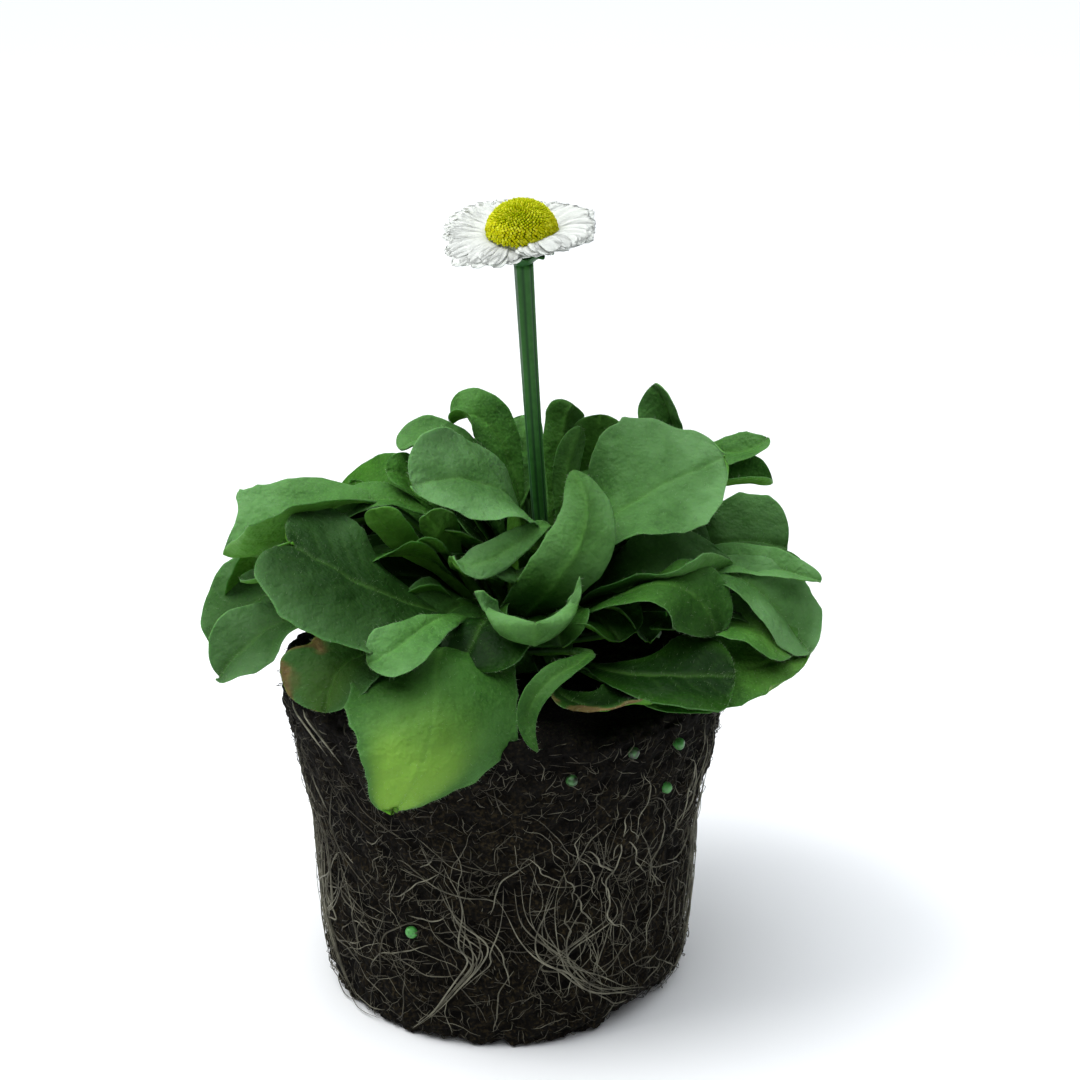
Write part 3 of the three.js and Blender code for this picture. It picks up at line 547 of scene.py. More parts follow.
def peat_finish(tree):
    """Peat and coir potting mix: crumbly, matt and nearly black when damp, with browner crumbs.
    Painted shade darkens its hollows and its top under the leaves further.
    """
    place = add(tree, "TexCoord").outputs["Object"]
    height = add(tree, "Attribute", attribute_name="height").outputs["Fac"]
    crumbs = add(tree, "TexVoronoi", {"Vector": place, "Scale": per(1.1)})
    grit = add(tree, "TexNoise", {"Vector": place, "Scale": per(0.7), "Detail": 5})
    specks = add(tree, "MapRange", {
        "Value": grit.outputs[0], "From Min": 0.48, "From Max": 0.66})
    brown = add(tree, "Mix", {
        0: specks.outputs[0], 6: linear("#0b0906"), 7: linear("#30291a")}, data_type="RGBA")
    # Painted shade: where height is low, in the hollows and in the top band under the leaves, the
    # peat goes near black.
    shaded_peat = add(tree, "Mix", {
        0: height, 6: linear("#070605"), 7: brown.outputs[2]}, data_type="RGBA")
    fine = add(tree, "Bump", {
        "Height": grit.outputs[0], "Strength": 0.8, "Distance": 0.0005})
    rough = add(tree, "Bump", {
        "Height": crumbs.outputs["Distance"], "Normal": fine.outputs[0], "Strength": 0.6,
        "Distance": 0.0006}, invert=True)
    return {
        "Base Color": shaded_peat.outputs[2], "Normal": rough.outputs[0], "Roughness": 0.95,
        "Specular IOR Level": 0.1}


def root_finish(tree):
    """Fine living roots with peat dust on them: fibrous, tan to greyish white, faintly glossy."""
    place = add(tree, "TexCoord").outputs["Object"]
    tone = add(tree, "Attribute", attribute_name="tone").outputs["Fac"]
    dust = add(tree, "TexNoise", {"Vector": place, "Scale": per(2.5), "Detail": 3})
    base = add(tree, "Mix", {
        0: tone, 6: linear("#302b1b"), 7: linear("#908e7a")}, data_type="RGBA")
    share = add(tree, "MapRange", {
        "Value": dust.outputs[0], "From Min": 0.42, "From Max": 0.7, "To Max": 0.75})
    colour = add(tree, "Mix", {
        0: share.outputs[0], 6: base.outputs[2], 7: linear("#1f1b12")}, data_type="RGBA")
    return {
        "Base Color": colour.outputs[2], "Roughness": 0.6, "Specular IOR Level": 0.4}


def ray_finish(tree):
    """White ray floret: thin, soft and slightly see-through, matt with a silky grain."""
    place = add(tree, "TexCoord").outputs["Object"]
    along = add(tree, "Attribute", attribute_name="along").outputs["Fac"]
    mottle = add(tree, "TexNoise", {"Vector": place, "Scale": per(1.2), "Detail": 3})
    white = add(tree, "Mix", {
        0: mottle.outputs[0], 6: linear("#b8bdb6"), 7: linear("#d8dbd2")}, data_type="RGBA")
    root = add(tree, "MapRange", {
        "Value": along, "From Min": 0.05, "From Max": 0.3, "To Min": 0.55, "To Max": 0})
    colour = add(tree, "Mix", {
        0: root.outputs[0], 6: white.outputs[2], 7: linear("#cdd3a0")}, data_type="RGBA")
    bump = add(tree, "Bump", {
        "Height": mottle.outputs[0], "Strength": 0.3, "Distance": 0.0003})
    return {
        "Base Color": colour.outputs[2], "Normal": bump.outputs[0], "Roughness": 0.6,
        "Specular IOR Level": 0.3, "Sheen Weight": 0.15, "Subsurface Weight": 0.6,
        "Subsurface Scale": 0.0015, "Subsurface Radius": (1.0, 1.0, 1.0)}


def disc_finish(tree):
    """Disc florets: small waxy yellow tubes, greener in the bud and dusted with pollen. Painted
    shade darkens them towards their feet and on the dome between them.
    """
    open_share, height, tone = (
        add(tree, "Attribute", attribute_name=name).outputs["Fac"]
        for name in ("open", "height", "tone"))
    base = add(tree, "Mix", {
        0: open_share, 6: linear("#a2ac00"), 7: linear("#b6b800")}, data_type="RGBA")
    varied = add(tree, "Mix", {
        0: tone, 6: base.outputs[2], 7: linear("#d8da36")}, data_type="RGBA")
    # Painted shade: olive towards each floret's foot and on the dome between the florets.
    colour = add(tree, "Mix", {
        0: height, 6: linear("#838c02"), 7: varied.outputs[2]}, data_type="RGBA")
    return {
        "Base Color": colour.outputs[2], "Roughness": 0.6, "Specular IOR Level": 0.05,
        "Subsurface Weight": 0.1, "Subsurface Scale": 0.0005}


def stalk_finish(tree):
    """Flower stalk, cup and bracts: firm green tissue, darker in the grooves, finely downy."""
    place = add(tree, "TexCoord").outputs["Object"]
    groove = add(tree, "Attribute", attribute_name="groove").outputs["Fac"]
    mottle = add(tree, "TexNoise", {"Vector": place, "Scale": per(1.5), "Detail": 3})
    green = add(tree, "Mix", {
        0: mottle.outputs[0], 6: linear("#21521c"), 7: linear("#38702c")}, data_type="RGBA")
    colour = add(tree, "Mix", {
        0: groove, 6: green.outputs[2], 7: linear("#184019")}, data_type="RGBA")
    bump = add(tree, "Bump", {
        "Height": mottle.outputs[0], "Strength": 0.3, "Distance": 0.0003})
    return {
        "Base Color": colour.outputs[2], "Normal": bump.outputs[0], "Roughness": 0.5,
        "Specular IOR Level": 0.2, "Sheen Weight": 0.06, "Sheen Roughness": 0.5,
        "Sheen Tint": linear("#bcd4dc")}


def grain_finish(tree):
    """Coated feed grain: a green resin skin over a rough prill, dull with small pits."""
    place = add(tree, "TexCoord").outputs["Object"]
    pits = add(tree, "TexVoronoi", {"Vector": place, "Scale": per(0.7)})
    share = add(tree, "MapRange", {
        "Value": pits.outputs["Distance"], "From Min": 0.1, "From Max": 0.35})
    skin = add(tree, "Mix", {
        0: share.outputs[0], 6: linear("#1f4f24"), 7: linear("#4a9a45")}, data_type="RGBA")
    dust = add(tree, "Attribute", attribute_name="dust").outputs["Fac"]
    colour = add(tree, "Mix", {
        0: dust, 6: skin.outputs[2], 7: linear("#14180d")}, data_type="RGBA")
    bump = add(tree, "Bump", {
        "Height": pits.outputs["Distance"], "Strength": 0.5, "Distance": 0.0002})
    return {
        "Base Color": colour.outputs[2], "Normal": bump.outputs[0], "Roughness": 0.42}


# Root ball


def chip_depth(turn, z):
    """Depth of the chip out of the foot at turn degrees from the front and a height: a bell curve
    round the ball that fades with height."""
    side = np.exp(-(((turn + 180) % 360 - 180 - CHIP["turn"]) / CHIP["spread"]) ** 2)
    return CHIP["depth"] * side * np.clip(1 - z / CHIP["height"], 0, 1)


def ball_radius(turn, z):
    """Radius of the ball's smooth outside: that of the profile less the chip."""
    return np.interp(z, BALL_PROFILE[:, 1], BALL_PROFILE[:, 0]) - chip_depth(turn, z)


def make_soil(material):
    """The ball: its profile turned about the vertical, with each point pressed in or pushed out
    along the profile's normal by granules of three sizes and a slow swell. The chip is taken off
    in proportion to the radius. height is how far a point stands out, which the peat's colour turns
    into painted shade in the hollows, and it fades towards the top, under the leaves, as painted
    shade from them."""
    rim = [[45.2, 72.1], [40, SOIL_TOP], [0.4, SOIL_TOP]]
    profile = np.concatenate([[[0.4, 0.0]], BALL_PROFILE, rim])
    run = np.concatenate([[0], np.cumsum(np.linalg.norm(np.diff(profile, axis=0), axis=1))])
    foot, side = run[1], run[-3]
    rows = np.concatenate([
        np.linspace(0, foot, 14)[:-1], np.linspace(foot, side, 118)[:-1],
        np.linspace(side, run[-1], 28)])
    r, z = (np.interp(rows, run, profile[:, k]) for k in (0, 1))
    angle = round_angles(SOIL_COLUMNS)
    smooth = turned(r[:, None], z[:, None], angle)
    slope = unit(np.stack([np.gradient(z), -np.gradient(r)], -1))
    normal = turned(slope[:, :1], slope[:, 1:], angle)
    relief = (1.1 * granules(smooth, 5.5, 1) + 0.8 * granules(smooth, 2.6, 5)
              + 0.5 * granules(smooth, 1.3, 9) + 0.35 * cloud(smooth, 9, 13))
    chip = chip_depth(np.degrees(angle) + 90, z[:, None]) * r[:, None] / FOOT_RADIUS
    points = smooth + normal * (relief - 1.6)[..., None]
    points[..., :2] -= chip[..., None] * np.stack([np.cos(angle), np.sin(angle)], -1)
    points[..., 2] = np.where(rows[:, None] < foot, np.abs(smooth[..., 2] - points[..., 2]),
                              np.maximum(points[..., 2], 0.02))
    shell = Shell()
    # Painted shade from the leaves: height, and with it the peat's colour, is cut towards the top.
    shade = 1 - 0.6 * np.clip((z[:, None] - 54) / 14, 0, 1)
    shell.add(points, tube_faces(len(rows), SOIL_COLUMNS),
              height=np.clip(relief / 1.9, 0, 1) * shade)
    shell.make("peat_ball", material, "peat", ["root_ball"])


def over_ball(turn, z, lift):
    """Places at turn degrees round from the front, at a height, lifted off the smooth outside."""
    return turned(ball_radius(turn, z) + lift, z, np.radians(turn - 90))


def add_strands(shell, turn, z, lift, radius, tone, sides=6):
    """Roots over the ball from arrays (roots, rings) of places; each thins towards both ends."""
    paths = over_ball(turn, np.clip(z, 0.8, 71), lift)
    outward = unit(paths * [1, 1, 0])
    share = np.linspace(0, 1, turn.shape[1])
    taper = np.minimum(1, 0.35 + 3 * share) * np.minimum(1, 0.25 + 2.2 * (1 - share))
    points = tube(paths, radius[:, None] * taper, outward, sides)
    shell.add_copies(points, tube_faces(turn.shape[1], sides), tone=tone)


def crawl(count, rings, seed, turn, z, heading, length, bend, sway):
    """Wandering courses over the ball: each heads off at an angle from level, its heading turns
    evenly by bend and sways, and its steps are summed. Returns turn and height arrays."""
    k = seed * 1000 + np.arange(count)
    share = np.linspace(0, 1, rings)
    phase = 6.3 * chance(k + 0.7)
    course = (heading[:, None] + bend[:, None] * share
              + sway * np.sin(9 * share + phase[:, None])
              + 0.5 * sway * np.sin(23 * share + 2 * phase[:, None]))
    step = length[:, None] / rings
    rise = np.cumsum(step * np.sin(np.radians(course)), axis=1)
    along = np.cumsum(step * np.cos(np.radians(course)), axis=1)
    return turn[:, None] + np.degrees(along / MIDDLE_RADIUS), z[:, None] + rise


def strew(shell, first, seed, count, rings, height, length, bend, sway, lift, radius, tone,
          turn=(0, 360), heading=(0, 360), bow=(0.15, 3.0), tilt=0, tone_draw=0.77):
    """Adds roots of one kind, whose words ROOT_KINDS explains."""
    k = first + np.arange(count)

    def draw(offset, low, span, power=1):
        """low + span * chance ^ power for each root."""
        return low + span * chance(k + offset) ** power

    turns, heights = crawl(count, rings, seed, draw(0, *turn), draw(0.3, *height),
                           draw(0.5, *heading), draw(0.9, *length),
                           bend * (chance(k + 0.11) - 0.5), sway)
    off = (lift[0] + lift[1] * chance(k + 0.23)[:, None] * np.sin(np.linspace(*bow, rings))
           + tilt * chance(k + 0.6)[:, None] * np.linspace(0, 1, rings))
    add_strands(shell, turns, heights, off, draw(0.37, *radius), draw(tone_draw, *tone), 4)


def fan(trunk, branches, each, seed, rings=28):
    """Strands that share a trunk and part into branches, which are lists of [turn, height]. Each
    strand sets out somewhere on the first third of its way, holds an offset of its own, sways and
    drifts off by the power 1.5 of its length. Returns turn and height arrays."""
    courses = []
    for b, branch in enumerate(branches):
        for i in range(each):
            k = seed * 100 + b * 20 + i
            path = smooth_path(np.array(trunk + branch, float), rings)
            share = np.linspace(0, 1, rings)[:, None]
            drift = np.array([15 * (chance(k) - 0.5), 9 * (chance(k + 0.3) - 0.5)])
            hold = np.array([2.6, 2]) * (chance(k + 0.6) - 0.5)
            phase = (8 + 9 * chance(k + 0.4)) * share + 6.3 * chance(k + 0.2)
            first = int(rings * 0.35 * chance(k + 0.8))
            course = path + hold + drift * share**1.5 + [0.7, 0.5] * np.sin(phase)
            s = np.linspace(first, rings - 1, rings)
            courses.append([np.interp(s, np.arange(rings), course[:, axis]) for axis in (0, 1)])
    both = np.array(courses)
    return both[:, 0], both[:, 1]


def make_roots(material):
    """The net of roots: wisps, dark fibres, a felt of fine hairs and longer roots, all strewn, then
    fans that gather into cords near the foot, two dry straws and mats of straight pale roots. The
    fans round the back are the front ones turned, flipped and stretched by chance. A straw is bowed
    by a half sine, and a mat's roots hang from its top with a slight sway."""
    shells = {name: Shell() for name in ("root_wisps", "root_felt", "root_strands")}
    for piece, kind in ROOT_KINDS:
        strew(shells[piece], **kind)
    long = shells["root_strands"]

    courses = [fan(FAN_TRUNKS[n % 2], FAN_BRANCHES[n % 2], 3, n) for n in range(2)]
    for n in range(2, 10):
        a, b = fan(FAN_TRUNKS[n % 2], FAN_BRANCHES[n % 2], 2, n)
        flip = -1 if n % 4 < 2 else 1
        courses.append((flip * (a - 5) + 95 + 30 * (n - 2), b * (0.8 + 0.4 * chance(n))))
    for turn, z in courses:
        k = 9000 + 31 * len(turn) + np.arange(len(turn)) + z[0, 0]
        rise = np.sin(np.linspace(0.3, 2.8, turn.shape[1]))
        lift = 0.2 + 0.7 * chance(k)[:, None] * rise
        add_strands(long, turn, z, lift, 0.08 + 0.12 * chance(k + 0.37),
                    0.25 + 0.5 * chance(k + 0.7))

    share = np.linspace(0, 1, 8)
    bow = 0.8 * np.sin(np.pi * share)
    for (turn, z), (last_turn, last_z) in STRAWS:
        add_strands(long, lerp(turn, last_turn, share)[None], (lerp(z, last_z, share) + bow)[None],
                    np.full((1, len(share)), 1.2), np.array([0.2]), np.array([0.8]))

    for n, (around, low, high) in enumerate(MATS):
        count, rings = 9, 18
        k = 12000 + 50 * n + np.arange(count)
        share = np.linspace(0, 1, rings)
        top = high - 14 * chance(k)[:, None]
        z = lerp(top, low + 16 * chance(k + 0.4)[:, None], share)
        turn = (around + 12 * (chance(k + 0.2) - 0.5)[:, None]
                + 1.5 * np.sin((4 + 6 * chance(k + 0.3)[:, None]) * share
                               + 6.3 * chance(k + 0.5)[:, None]))
        lift = 0.1 + 0.9 * chance(k + 0.6)[:, None] * np.sin(np.linspace(0.2, 2.9, rings))
        add_strands(long, turn, z, lift, 0.06 + 0.08 * chance(k + 0.37),
                    0.4 + 0.5 * chance(k + 0.7))
    shells["root_wisps"].make("root_wisps", material, "root")
    shells["root_felt"].make("root_felt", material, "root")
    long.make("root_strands", material, "root", ["roots"])


def make_grains(material):
    """Grains of feed: a ball whose radius is lumped by noise, sunk in the peat."""
    rings, sides = 14, 24
    up = np.linspace(-1, 1, rings) * 0.98
    ball = turned(np.sqrt(1 - up**2)[:, None], up[:, None], round_angles(sides))
    for k, (turn, z) in enumerate(GRAINS):
        middle = over_ball(turn, z, 0.5 * GRAIN_RADIUS - GRAIN_SUNK)
        lumps = 1 + 0.12 * cloud(ball + 7 * k, 0.9, 20 + k)
        dust = np.clip(GRAIN_DUST[k] + 0.4 * cloud(ball + 3 * k, 0.5, 30), 0, 1)
        shell = Shell()
        shell.add(middle + GRAIN_RADIUS * lumps[..., None] * ball, tube_faces(rings, sides),
                  dust=dust)
        shell.make(f"grain_of_feed_{k + 1}", material, "feed_grain", [f"feed_grain_{k + 1}"])


# Leaves


def midrib(points, t):
    """The cubic through four points at 0, 1/3, 2/3 and 1 of its length."""
    a, b, c, d = 3 * t - 1, 3 * t - 2, t - 1, t
    shares = [-a * b * c / 2, 9 * d * b * c / 2, -9 * d * a * c / 2, d * a * b / 2]
    return sum(share[:, None] * p for share, p in zip(shares, points))


def spoon(u, full, blunt):
    """Half width as a share of the widest: u to the power full times the root of 1 - u^blunt."""
    widest = (full / (full + blunt / 2)) ** (1 / blunt)
    most = widest**full * np.sqrt(1 - widest**blunt)
    return u**full * np.sqrt(np.clip(1 - u**blunt, 0, 1)) / most


def leaf_course(through, heading):
    """A midrib's four points, from a root in the crown, further in for a steep leaf, its length and
    its way out in radians, which is towards the tip unless a heading is given."""
    through = np.array(through, float)
    tip = through[2]
    out = (np.arctan2(tip[1] - CROWN[1], tip[0] - CROWN[0]) if heading is None
           else np.radians(heading))
    steep = np.clip((tip[2] - CROWN[2]) / 40, 0, 1)
    root = (CROWN + np.array([np.cos(out), np.sin(out), 0]) * lerp(6.5, 3, steep)
            + [0, 0, lerp(-0.5, 3, steep)])
    points = [root, *through]
    return points, sum(np.linalg.norm(b - a) for a, b in zip(points, points[1:])), out


class Blade:
    """The grid of one leaf: t from root to tip in rows that gather at the tip, v from -1 to 1
    across it in columns that gather at the margins and the midrib, and what follows from both."""

    def __init__(self, k, length, width, stem, full, blunt, spacing):
        """The half width is that of the bare stalk up to stem and of the spoon beyond it. opening
        says how far the blade has opened from the stalk, and edge is spread on a wide part."""
        self.k, self.length, self.width = k, length, width
        self.shape = int(length / spacing) + 8, 2 * int(width / (2.4 * spacing)) + 11
        self.t = t = 1 - (1 - np.linspace(0, 1, self.shape[0])[:, None]) ** 1.9
        even = np.linspace(-1, 1, self.shape[1])
        self.v = even - 0.11 * np.sin(2 * np.pi * even)
        self.spread = np.abs(self.v)
        self.blank = np.zeros(self.shape)
        self.left, self.right = self.blank + (self.v <= 0), self.blank + (self.v > 0)
        self.opening = np.clip((t - 0.6 * stem) / 0.45, 0, 1)
        u = np.clip((t - stem) / (1 - stem), 0, 1)
        half = np.maximum(LEAF_STALK_WIDTH / 2 * (1 - u), width / 2 * spoon(u, full, blunt))
        self.half = np.maximum(half, 0.12)
        self.edge = self.spread * np.clip(self.half / 4, 0, 1)

    def either(self, value):
        """One number, or (left, right), set out over the two halves of the blade."""
        left, right = value if isinstance(value, tuple) else (value, value)
        return left * self.left + right * self.right

    def around(self, upper, lower=None):
        """Values over the blade's face, carried on round the underside of each ring."""
        upper = upper + self.blank
        return np.concatenate([upper, (upper if lower is None else lower)[:, -2:0:-1]], axis=1)


def leaf_frame(points, out, t, turn, bank):
    """The midrib's places and, for each, the directions ahead, to the blade's side and out of its
    face. The side is level and square to the way out plus turn, and bank tips it about ahead."""
    ahead = unit(midrib(points, t + 1e-3) - midrib(points, t - 1e-3))
    level_angle = out + np.radians(turn - 90)
    level = np.array([np.cos(level_angle), np.sin(level_angle), 0])
    side = unit(level - (ahead @ level)[:, None] * ahead)
    face = np.cross(side, ahead)
    c, s = np.cos(bank), np.sin(bank)
    return midrib(points, t), ahead, side * c + face * s, face * c - side * s


def leaf_reach(blade, rough, nicks):
    """Distance of each point from the midrib, negative to the left: v times the half width, more
    on one side than the other, swelled by noise and small teeth towards the margin, and cut there
    by nicks in the shape of a bell, which never take all of it."""
    t, v, spread, opening = blade.t, blade.v, blade.spread, blade.opening
    uneven = 0.14 * rough * (chance(blade.k + 0.31) - 0.5) * (blade.left - blade.right)
    place = np.stack([blade.length * t + blade.blank, 50 * blade.right,
                      40.0 * blade.k + blade.blank], -1)
    swell = 0.07 * cloud(place, 9, 44) + 0.025 * cloud(place, 3, 45)
    reach = blade.half * v * (1 + opening * (uneven + rough * spread**3 * swell))
    teeth = max(4, int(blade.length / 7))
    tooth = np.sin(np.pi * (teeth * t + 0.5 * blade.right + chance(blade.k))) ** 8
    reach = reach * (1 + spread**8 * opening * (0.03 * tooth - 0.008))
    cut = blade.blank
    for side, where, span, depth in nicks:
        hit = np.exp(-((t - where) / span) ** 2) * (blade.left if side < 0 else blade.right)
        cut = cut + depth * hit * spread**2
    return reach - np.sign(v) * np.minimum(cut, 0.9 * np.abs(reach))


def leaf_colours(blade, surface, line, groove, tone=None, age=None, yellow=0, back=1,
                 withered=None):
    """The attributes that colour a leaf. Bloom grows towards the tip and the margins, as a painted
    highlight where they catch the light. Painted shade darkens a leaf by its height unless it is
    given, less so near the margins, and always near its stalk and deep in the rosette. Veins are
    pale along the midrib and its branches, the yellow tip is a bell with a flat top, and a margin
    is dry past the given share, moved about by noise."""
    t, edge, height = blade.t, blade.edge, surface[..., 2]
    tone = 0.6 * chance(blade.k + 7) if tone is None else tone
    # Painted shade: lower leaves, the part near the stalk and the heart of the rosette are darkened
    # as if in shade, the margins less so.
    shade_share = 0.8 * np.clip((113 - height) / 26, 0, 1) if age is None else age
    shade_share = np.clip(shade_share * (1.12 - 0.5 * edge**2), 0, 1)
    shade_share = np.maximum(shade_share, 0.85 * np.clip(1 - t / 0.5, 0, 1))
    inward = np.clip(1.5 - np.linalg.norm(surface[..., :2] - CROWN[:2], axis=-1) / 24, 0, 1)
    shade_share = np.maximum(shade_share, inward * np.clip((107 - height) / 14, 0, 1))
    glow = yellow * np.exp(-(((np.sign(blade.v) * edge - 0.1) / 0.62) ** 4)
                           - np.abs((t - 1) / 0.29) ** 3)
    dry = blade.blank
    if withered:
        side, start = withered
        near = blade.spread * (blade.left if side < 0 else blade.right)
        dry = blade.opening * np.clip((near + 0.45 * cloud(surface, 3.5, 50) - start) / 0.1, 0, 1)
    return dict(
        across=blade.around(blade.v),
        # under: the paler underside, set by back, which is low on undersides in shade, as painted
        # shade.
        under=blade.around(blade.blank, blade.blank + back),
        # tone: pale bloom growing towards the tip and margins, partly a painted highlight.
        tone=blade.around(tone * (0.25 + 0.95 * t**1.5) * (0.7 + 0.5 * edge)),
        age=blade.around(shade_share),
        yellow=blade.around(glow * np.clip(1 + 0.3 * cloud(surface, 7, 51), 0, 1.2)),
        vein=blade.around(np.clip(0.3 * line * (1 - 0.6 * t) + 0.08 * groove, 0, 1)),
        withered=blade.around(dry))


def add_leaf(shell, k, through, width, roll=0, fold=12, curl=0, stem=0.3, full=0.85, blunt=3.2,
             turn=0, wave=0, phase=0, heading=None, nicks=(), lobed=0, rough=1.0, spacing=1.0,
             down=None, **colours):
    """One leaf as a flattened tube, ring by ring from its root to its tip: over the upper face
    from the left margin to the right, and back under it. A point lies at its reach from the
    midrib, turned up by fold and curl, rippled by a sine along the margin and swept ahead by
    lobed. On that surface the midrib is a groove above and a rib below, side veins are shallow
    grooves along lines of t - 0.22 |v|, and noise of three sizes swells and crinkles the rest."""
    points, length, out = leaf_course(through, heading)
    blade = Blade(k, length, width, stem, full, blunt, spacing)
    t, spread, opening = blade.t, blade.spread, blade.opening
    twist = 16 * (chance(k + 0.61) - 0.5) * t
    bank = np.radians(roll * np.clip((t - 0.1) / 0.45, 0, 1) + twist)
    middle, ahead, side, face = leaf_frame(points, out, t[:, 0], turn, bank)

    angle = opening * np.radians(blade.either(fold) + spread / 2 * blade.either(curl))
    ripple = (wave * spread**2 * opening * np.clip((1 - t) * 5 + 0.35, 0, 1)
              * np.sin(2 * np.pi * 2.2 * t + phase + 1.9 * blade.right))
    reach = leaf_reach(blade, rough, nicks)
    away = np.abs(reach)
    surface = (middle[:, None] + side[:, None] * (reach * np.cos(angle))[..., None]
               + face[:, None] * (away * np.sin(angle) + ripple)[..., None])
    normal = unit(np.cross(np.gradient(surface, axis=1), np.gradient(surface, axis=0)))
    sweep = blade.either(lobed) * np.sqrt(away / (width / 2)) * t**3
    surface = surface + ahead[:, None] * sweep[..., None]

    veins = 4 + int(length / 9)
    lines = veins * (t - 0.22 * spread**1.2) + 0.5 * blade.right
    beside = np.abs(lines - np.floor(lines) - 0.5)
    groove = (np.exp(-((beside / 0.1) ** 2)) * opening * (1 - spread) ** 0.6
              * np.minimum(1, 3 * spread))
    swell = opening * (
        -0.07 * np.cos(2 * np.pi * (lines - 0.5)) * np.sin(np.pi * spread)
        + 1.0 * cloud(surface + 31 * k, 13, 40) * spread
        + 0.6 * cloud(surface + 31 * k, 5, 41)
        + 0.15 * cloud(surface, 1.7, 42))
    frill = (opening * spread**6 * (0.45 * cloud(surface + 17 * k, 6, 43) + 0.3)
             * np.clip(blade.half / 4, 0, 1))
    surface = surface + normal * (swell + frill)[..., None]
    depth = lerp(LEAF_STALK_THICKNESS, LEAF_THICKNESS, np.clip((t - 0.6 * stem) / 0.3, 0, 1))
    wall = depth / 2 * np.sqrt(np.clip(1 - spread**8, 0, 1))
    line = np.exp(-((away / 0.6) ** 2)) * np.clip(blade.half / 3, 0, 1)
    upper = surface + normal * (wall - 0.3 * line - 0.08 * groove)[..., None]
    lower = surface - normal * (wall + 0.35 * line + 0.05 * groove)[..., None]
    shell.add(np.concatenate([upper, lower[:, -2:0:-1]], axis=1),
              tube_faces(blade.shape[0], 2 * blade.shape[1] - 2),
              **leaf_colours(blade, surface, line, groove, **colours))
    if down:
        add_down(down, k, upper, normal, side, ahead,
                 int(HAIRS_PER_SQUARE_MM * length * width))


def add_down(shell, k, skin, normal, side, ahead, count):
    """Hairs on a leaf, each a spike of 0.3 to 1.1 mm on a triangle. Two in five stand along the
    margins and point outwards, and the others stand anywhere on the upper face, all leaning by
    chance."""
    n = 1e4 * (k + 1) + np.arange(count)
    rows, columns = skin.shape[:2]
    i = (rows * (0.2 + 0.79 * chance(n))).astype(int)
    j = (columns * chance(n + 0.2)).astype(int)
    rim = np.where(chance(n + 0.4) < 0.4, np.sign(j - columns / 2), 0)
    j = np.where(rim == 0, j, np.where(rim < 0, 1, columns - 2))
    across = 0.9 * rim + 0.9 * (chance(n + 0.6) - 0.5)
    up = np.where(rim == 0, 0.8, 0.7 * (chance(n + 0.5) - 0.3))
    way = unit(normal[i, j] * up[:, None] + side[i] * across[:, None]
               + ahead[i] * (0.2 + 0.9 * (chance(n + 0.8) - 0.5))[:, None])
    right = unit(np.cross(way, [0.3, 0.5, 0.8]))
    other = np.cross(way, right)
    turn = np.radians([0, 120, 240])[:, None, None]
    base = skin[i, j] - 0.05 * normal[i, j]
    ring = base + HAIR_RADIUS * (right * np.cos(turn) + other * np.sin(turn))
    tips = base + way * (0.3 + 0.8 * chance(n + 0.9) ** 2)[:, None]
    points = np.concatenate([ring, tips[None]]).transpose(1, 0, 2)
    shell.add_copies(points, np.array([[0, 2, 1], [0, 1, 3], [1, 2, 3], [2, 0, 3]]))


def arched(heading, reach, arch, tip, **rest):
    """The places of a leaf that arches out from the crown on one heading."""
    way = np.array([np.cos(np.radians(heading)), np.sin(np.radians(heading))])
    heights = (CROWN[2] + 0.72 * (arch - CROWN[2]), arch, tip)
    through = [(*(CROWN[:2] + share * reach * way), z)
               for share, z in zip((0.38, 0.72, 1), heights)]
    return dict(through=through, **rest)


def tier_leaves(tiers, k):
    """Leaves that fan between a tier's headings, numbered from k, each a little off the even."""
    leaves = []
    for tier in tiers:
        for i in range(tier["count"]):
            k += 1
            share = (i + 0.5 * (chance(k) - 0.5)) / (tier["count"] - 1)
            leaves.append(arched(
                heading=lerp(tier["first"], tier["last"], share),
                reach=tier["reach"] * (0.92 + 0.16 * chance(k + 50)),
                arch=tier["arch"] + 6 * (chance(k + 100) - 0.5),
                tip=tier["tip"] + 8 * (chance(k + 150) - 0.5),
                width=tier["width"] * (0.85 + 0.3 * chance(k + 200)),
                roll=30 * (chance(k + 250) - 0.5), fold=18, wave=1.5,
                phase=6 * chance(k + 300)))
    return leaves


def back_leaves():
    """The leaves behind, tier by tier, then the young ones at the heart and the inner ones."""
    leaves = tier_leaves(BACK_TIERS, 0)
    k = len(leaves)
    for i in range(HEART_LEAVES):
        k += 1
        leaves.append(arched(
            heading=360 * i / HEART_LEAVES + 30 * chance(k), reach=14 + 6 * chance(k + 50),
            arch=90 + 8 * chance(k + 90), tip=94 + 8 * chance(k + 100), width=9, fold=30))
    return leaves + tier_leaves(INNER_TIERS, 1000)


def make_leaves(material, hair):
    """The rosette in four pieces by the way that the leaves point, and the down on the leaves
    that show."""
    quarters = ["right", "back", "left", "front"]
    shells = {name: Shell() for name in quarters}
    down = Shell()
    for k, leaf in enumerate(SHOWN_LEAVES + back_leaves()):
        tip = np.array(leaf["through"][2][:2]) - CROWN[:2]
        turn = np.degrees(np.arctan2(tip[1], tip[0])) % 360
        shell = shells[quarters[int((turn + 45) // 90) % 4]]
        if k < len(SHOWN_LEAVES):
            add_leaf(shell, k, **leaf, down=down)
        else:
            add_leaf(shell, k, **leaf, spacing=1.7)
    for name, shell in shells.items():
        shell.make(f"leaves_{name}", material, "leaf", ["leaf_rosette"])
    down.make("leaf_down", hair, "leaf")


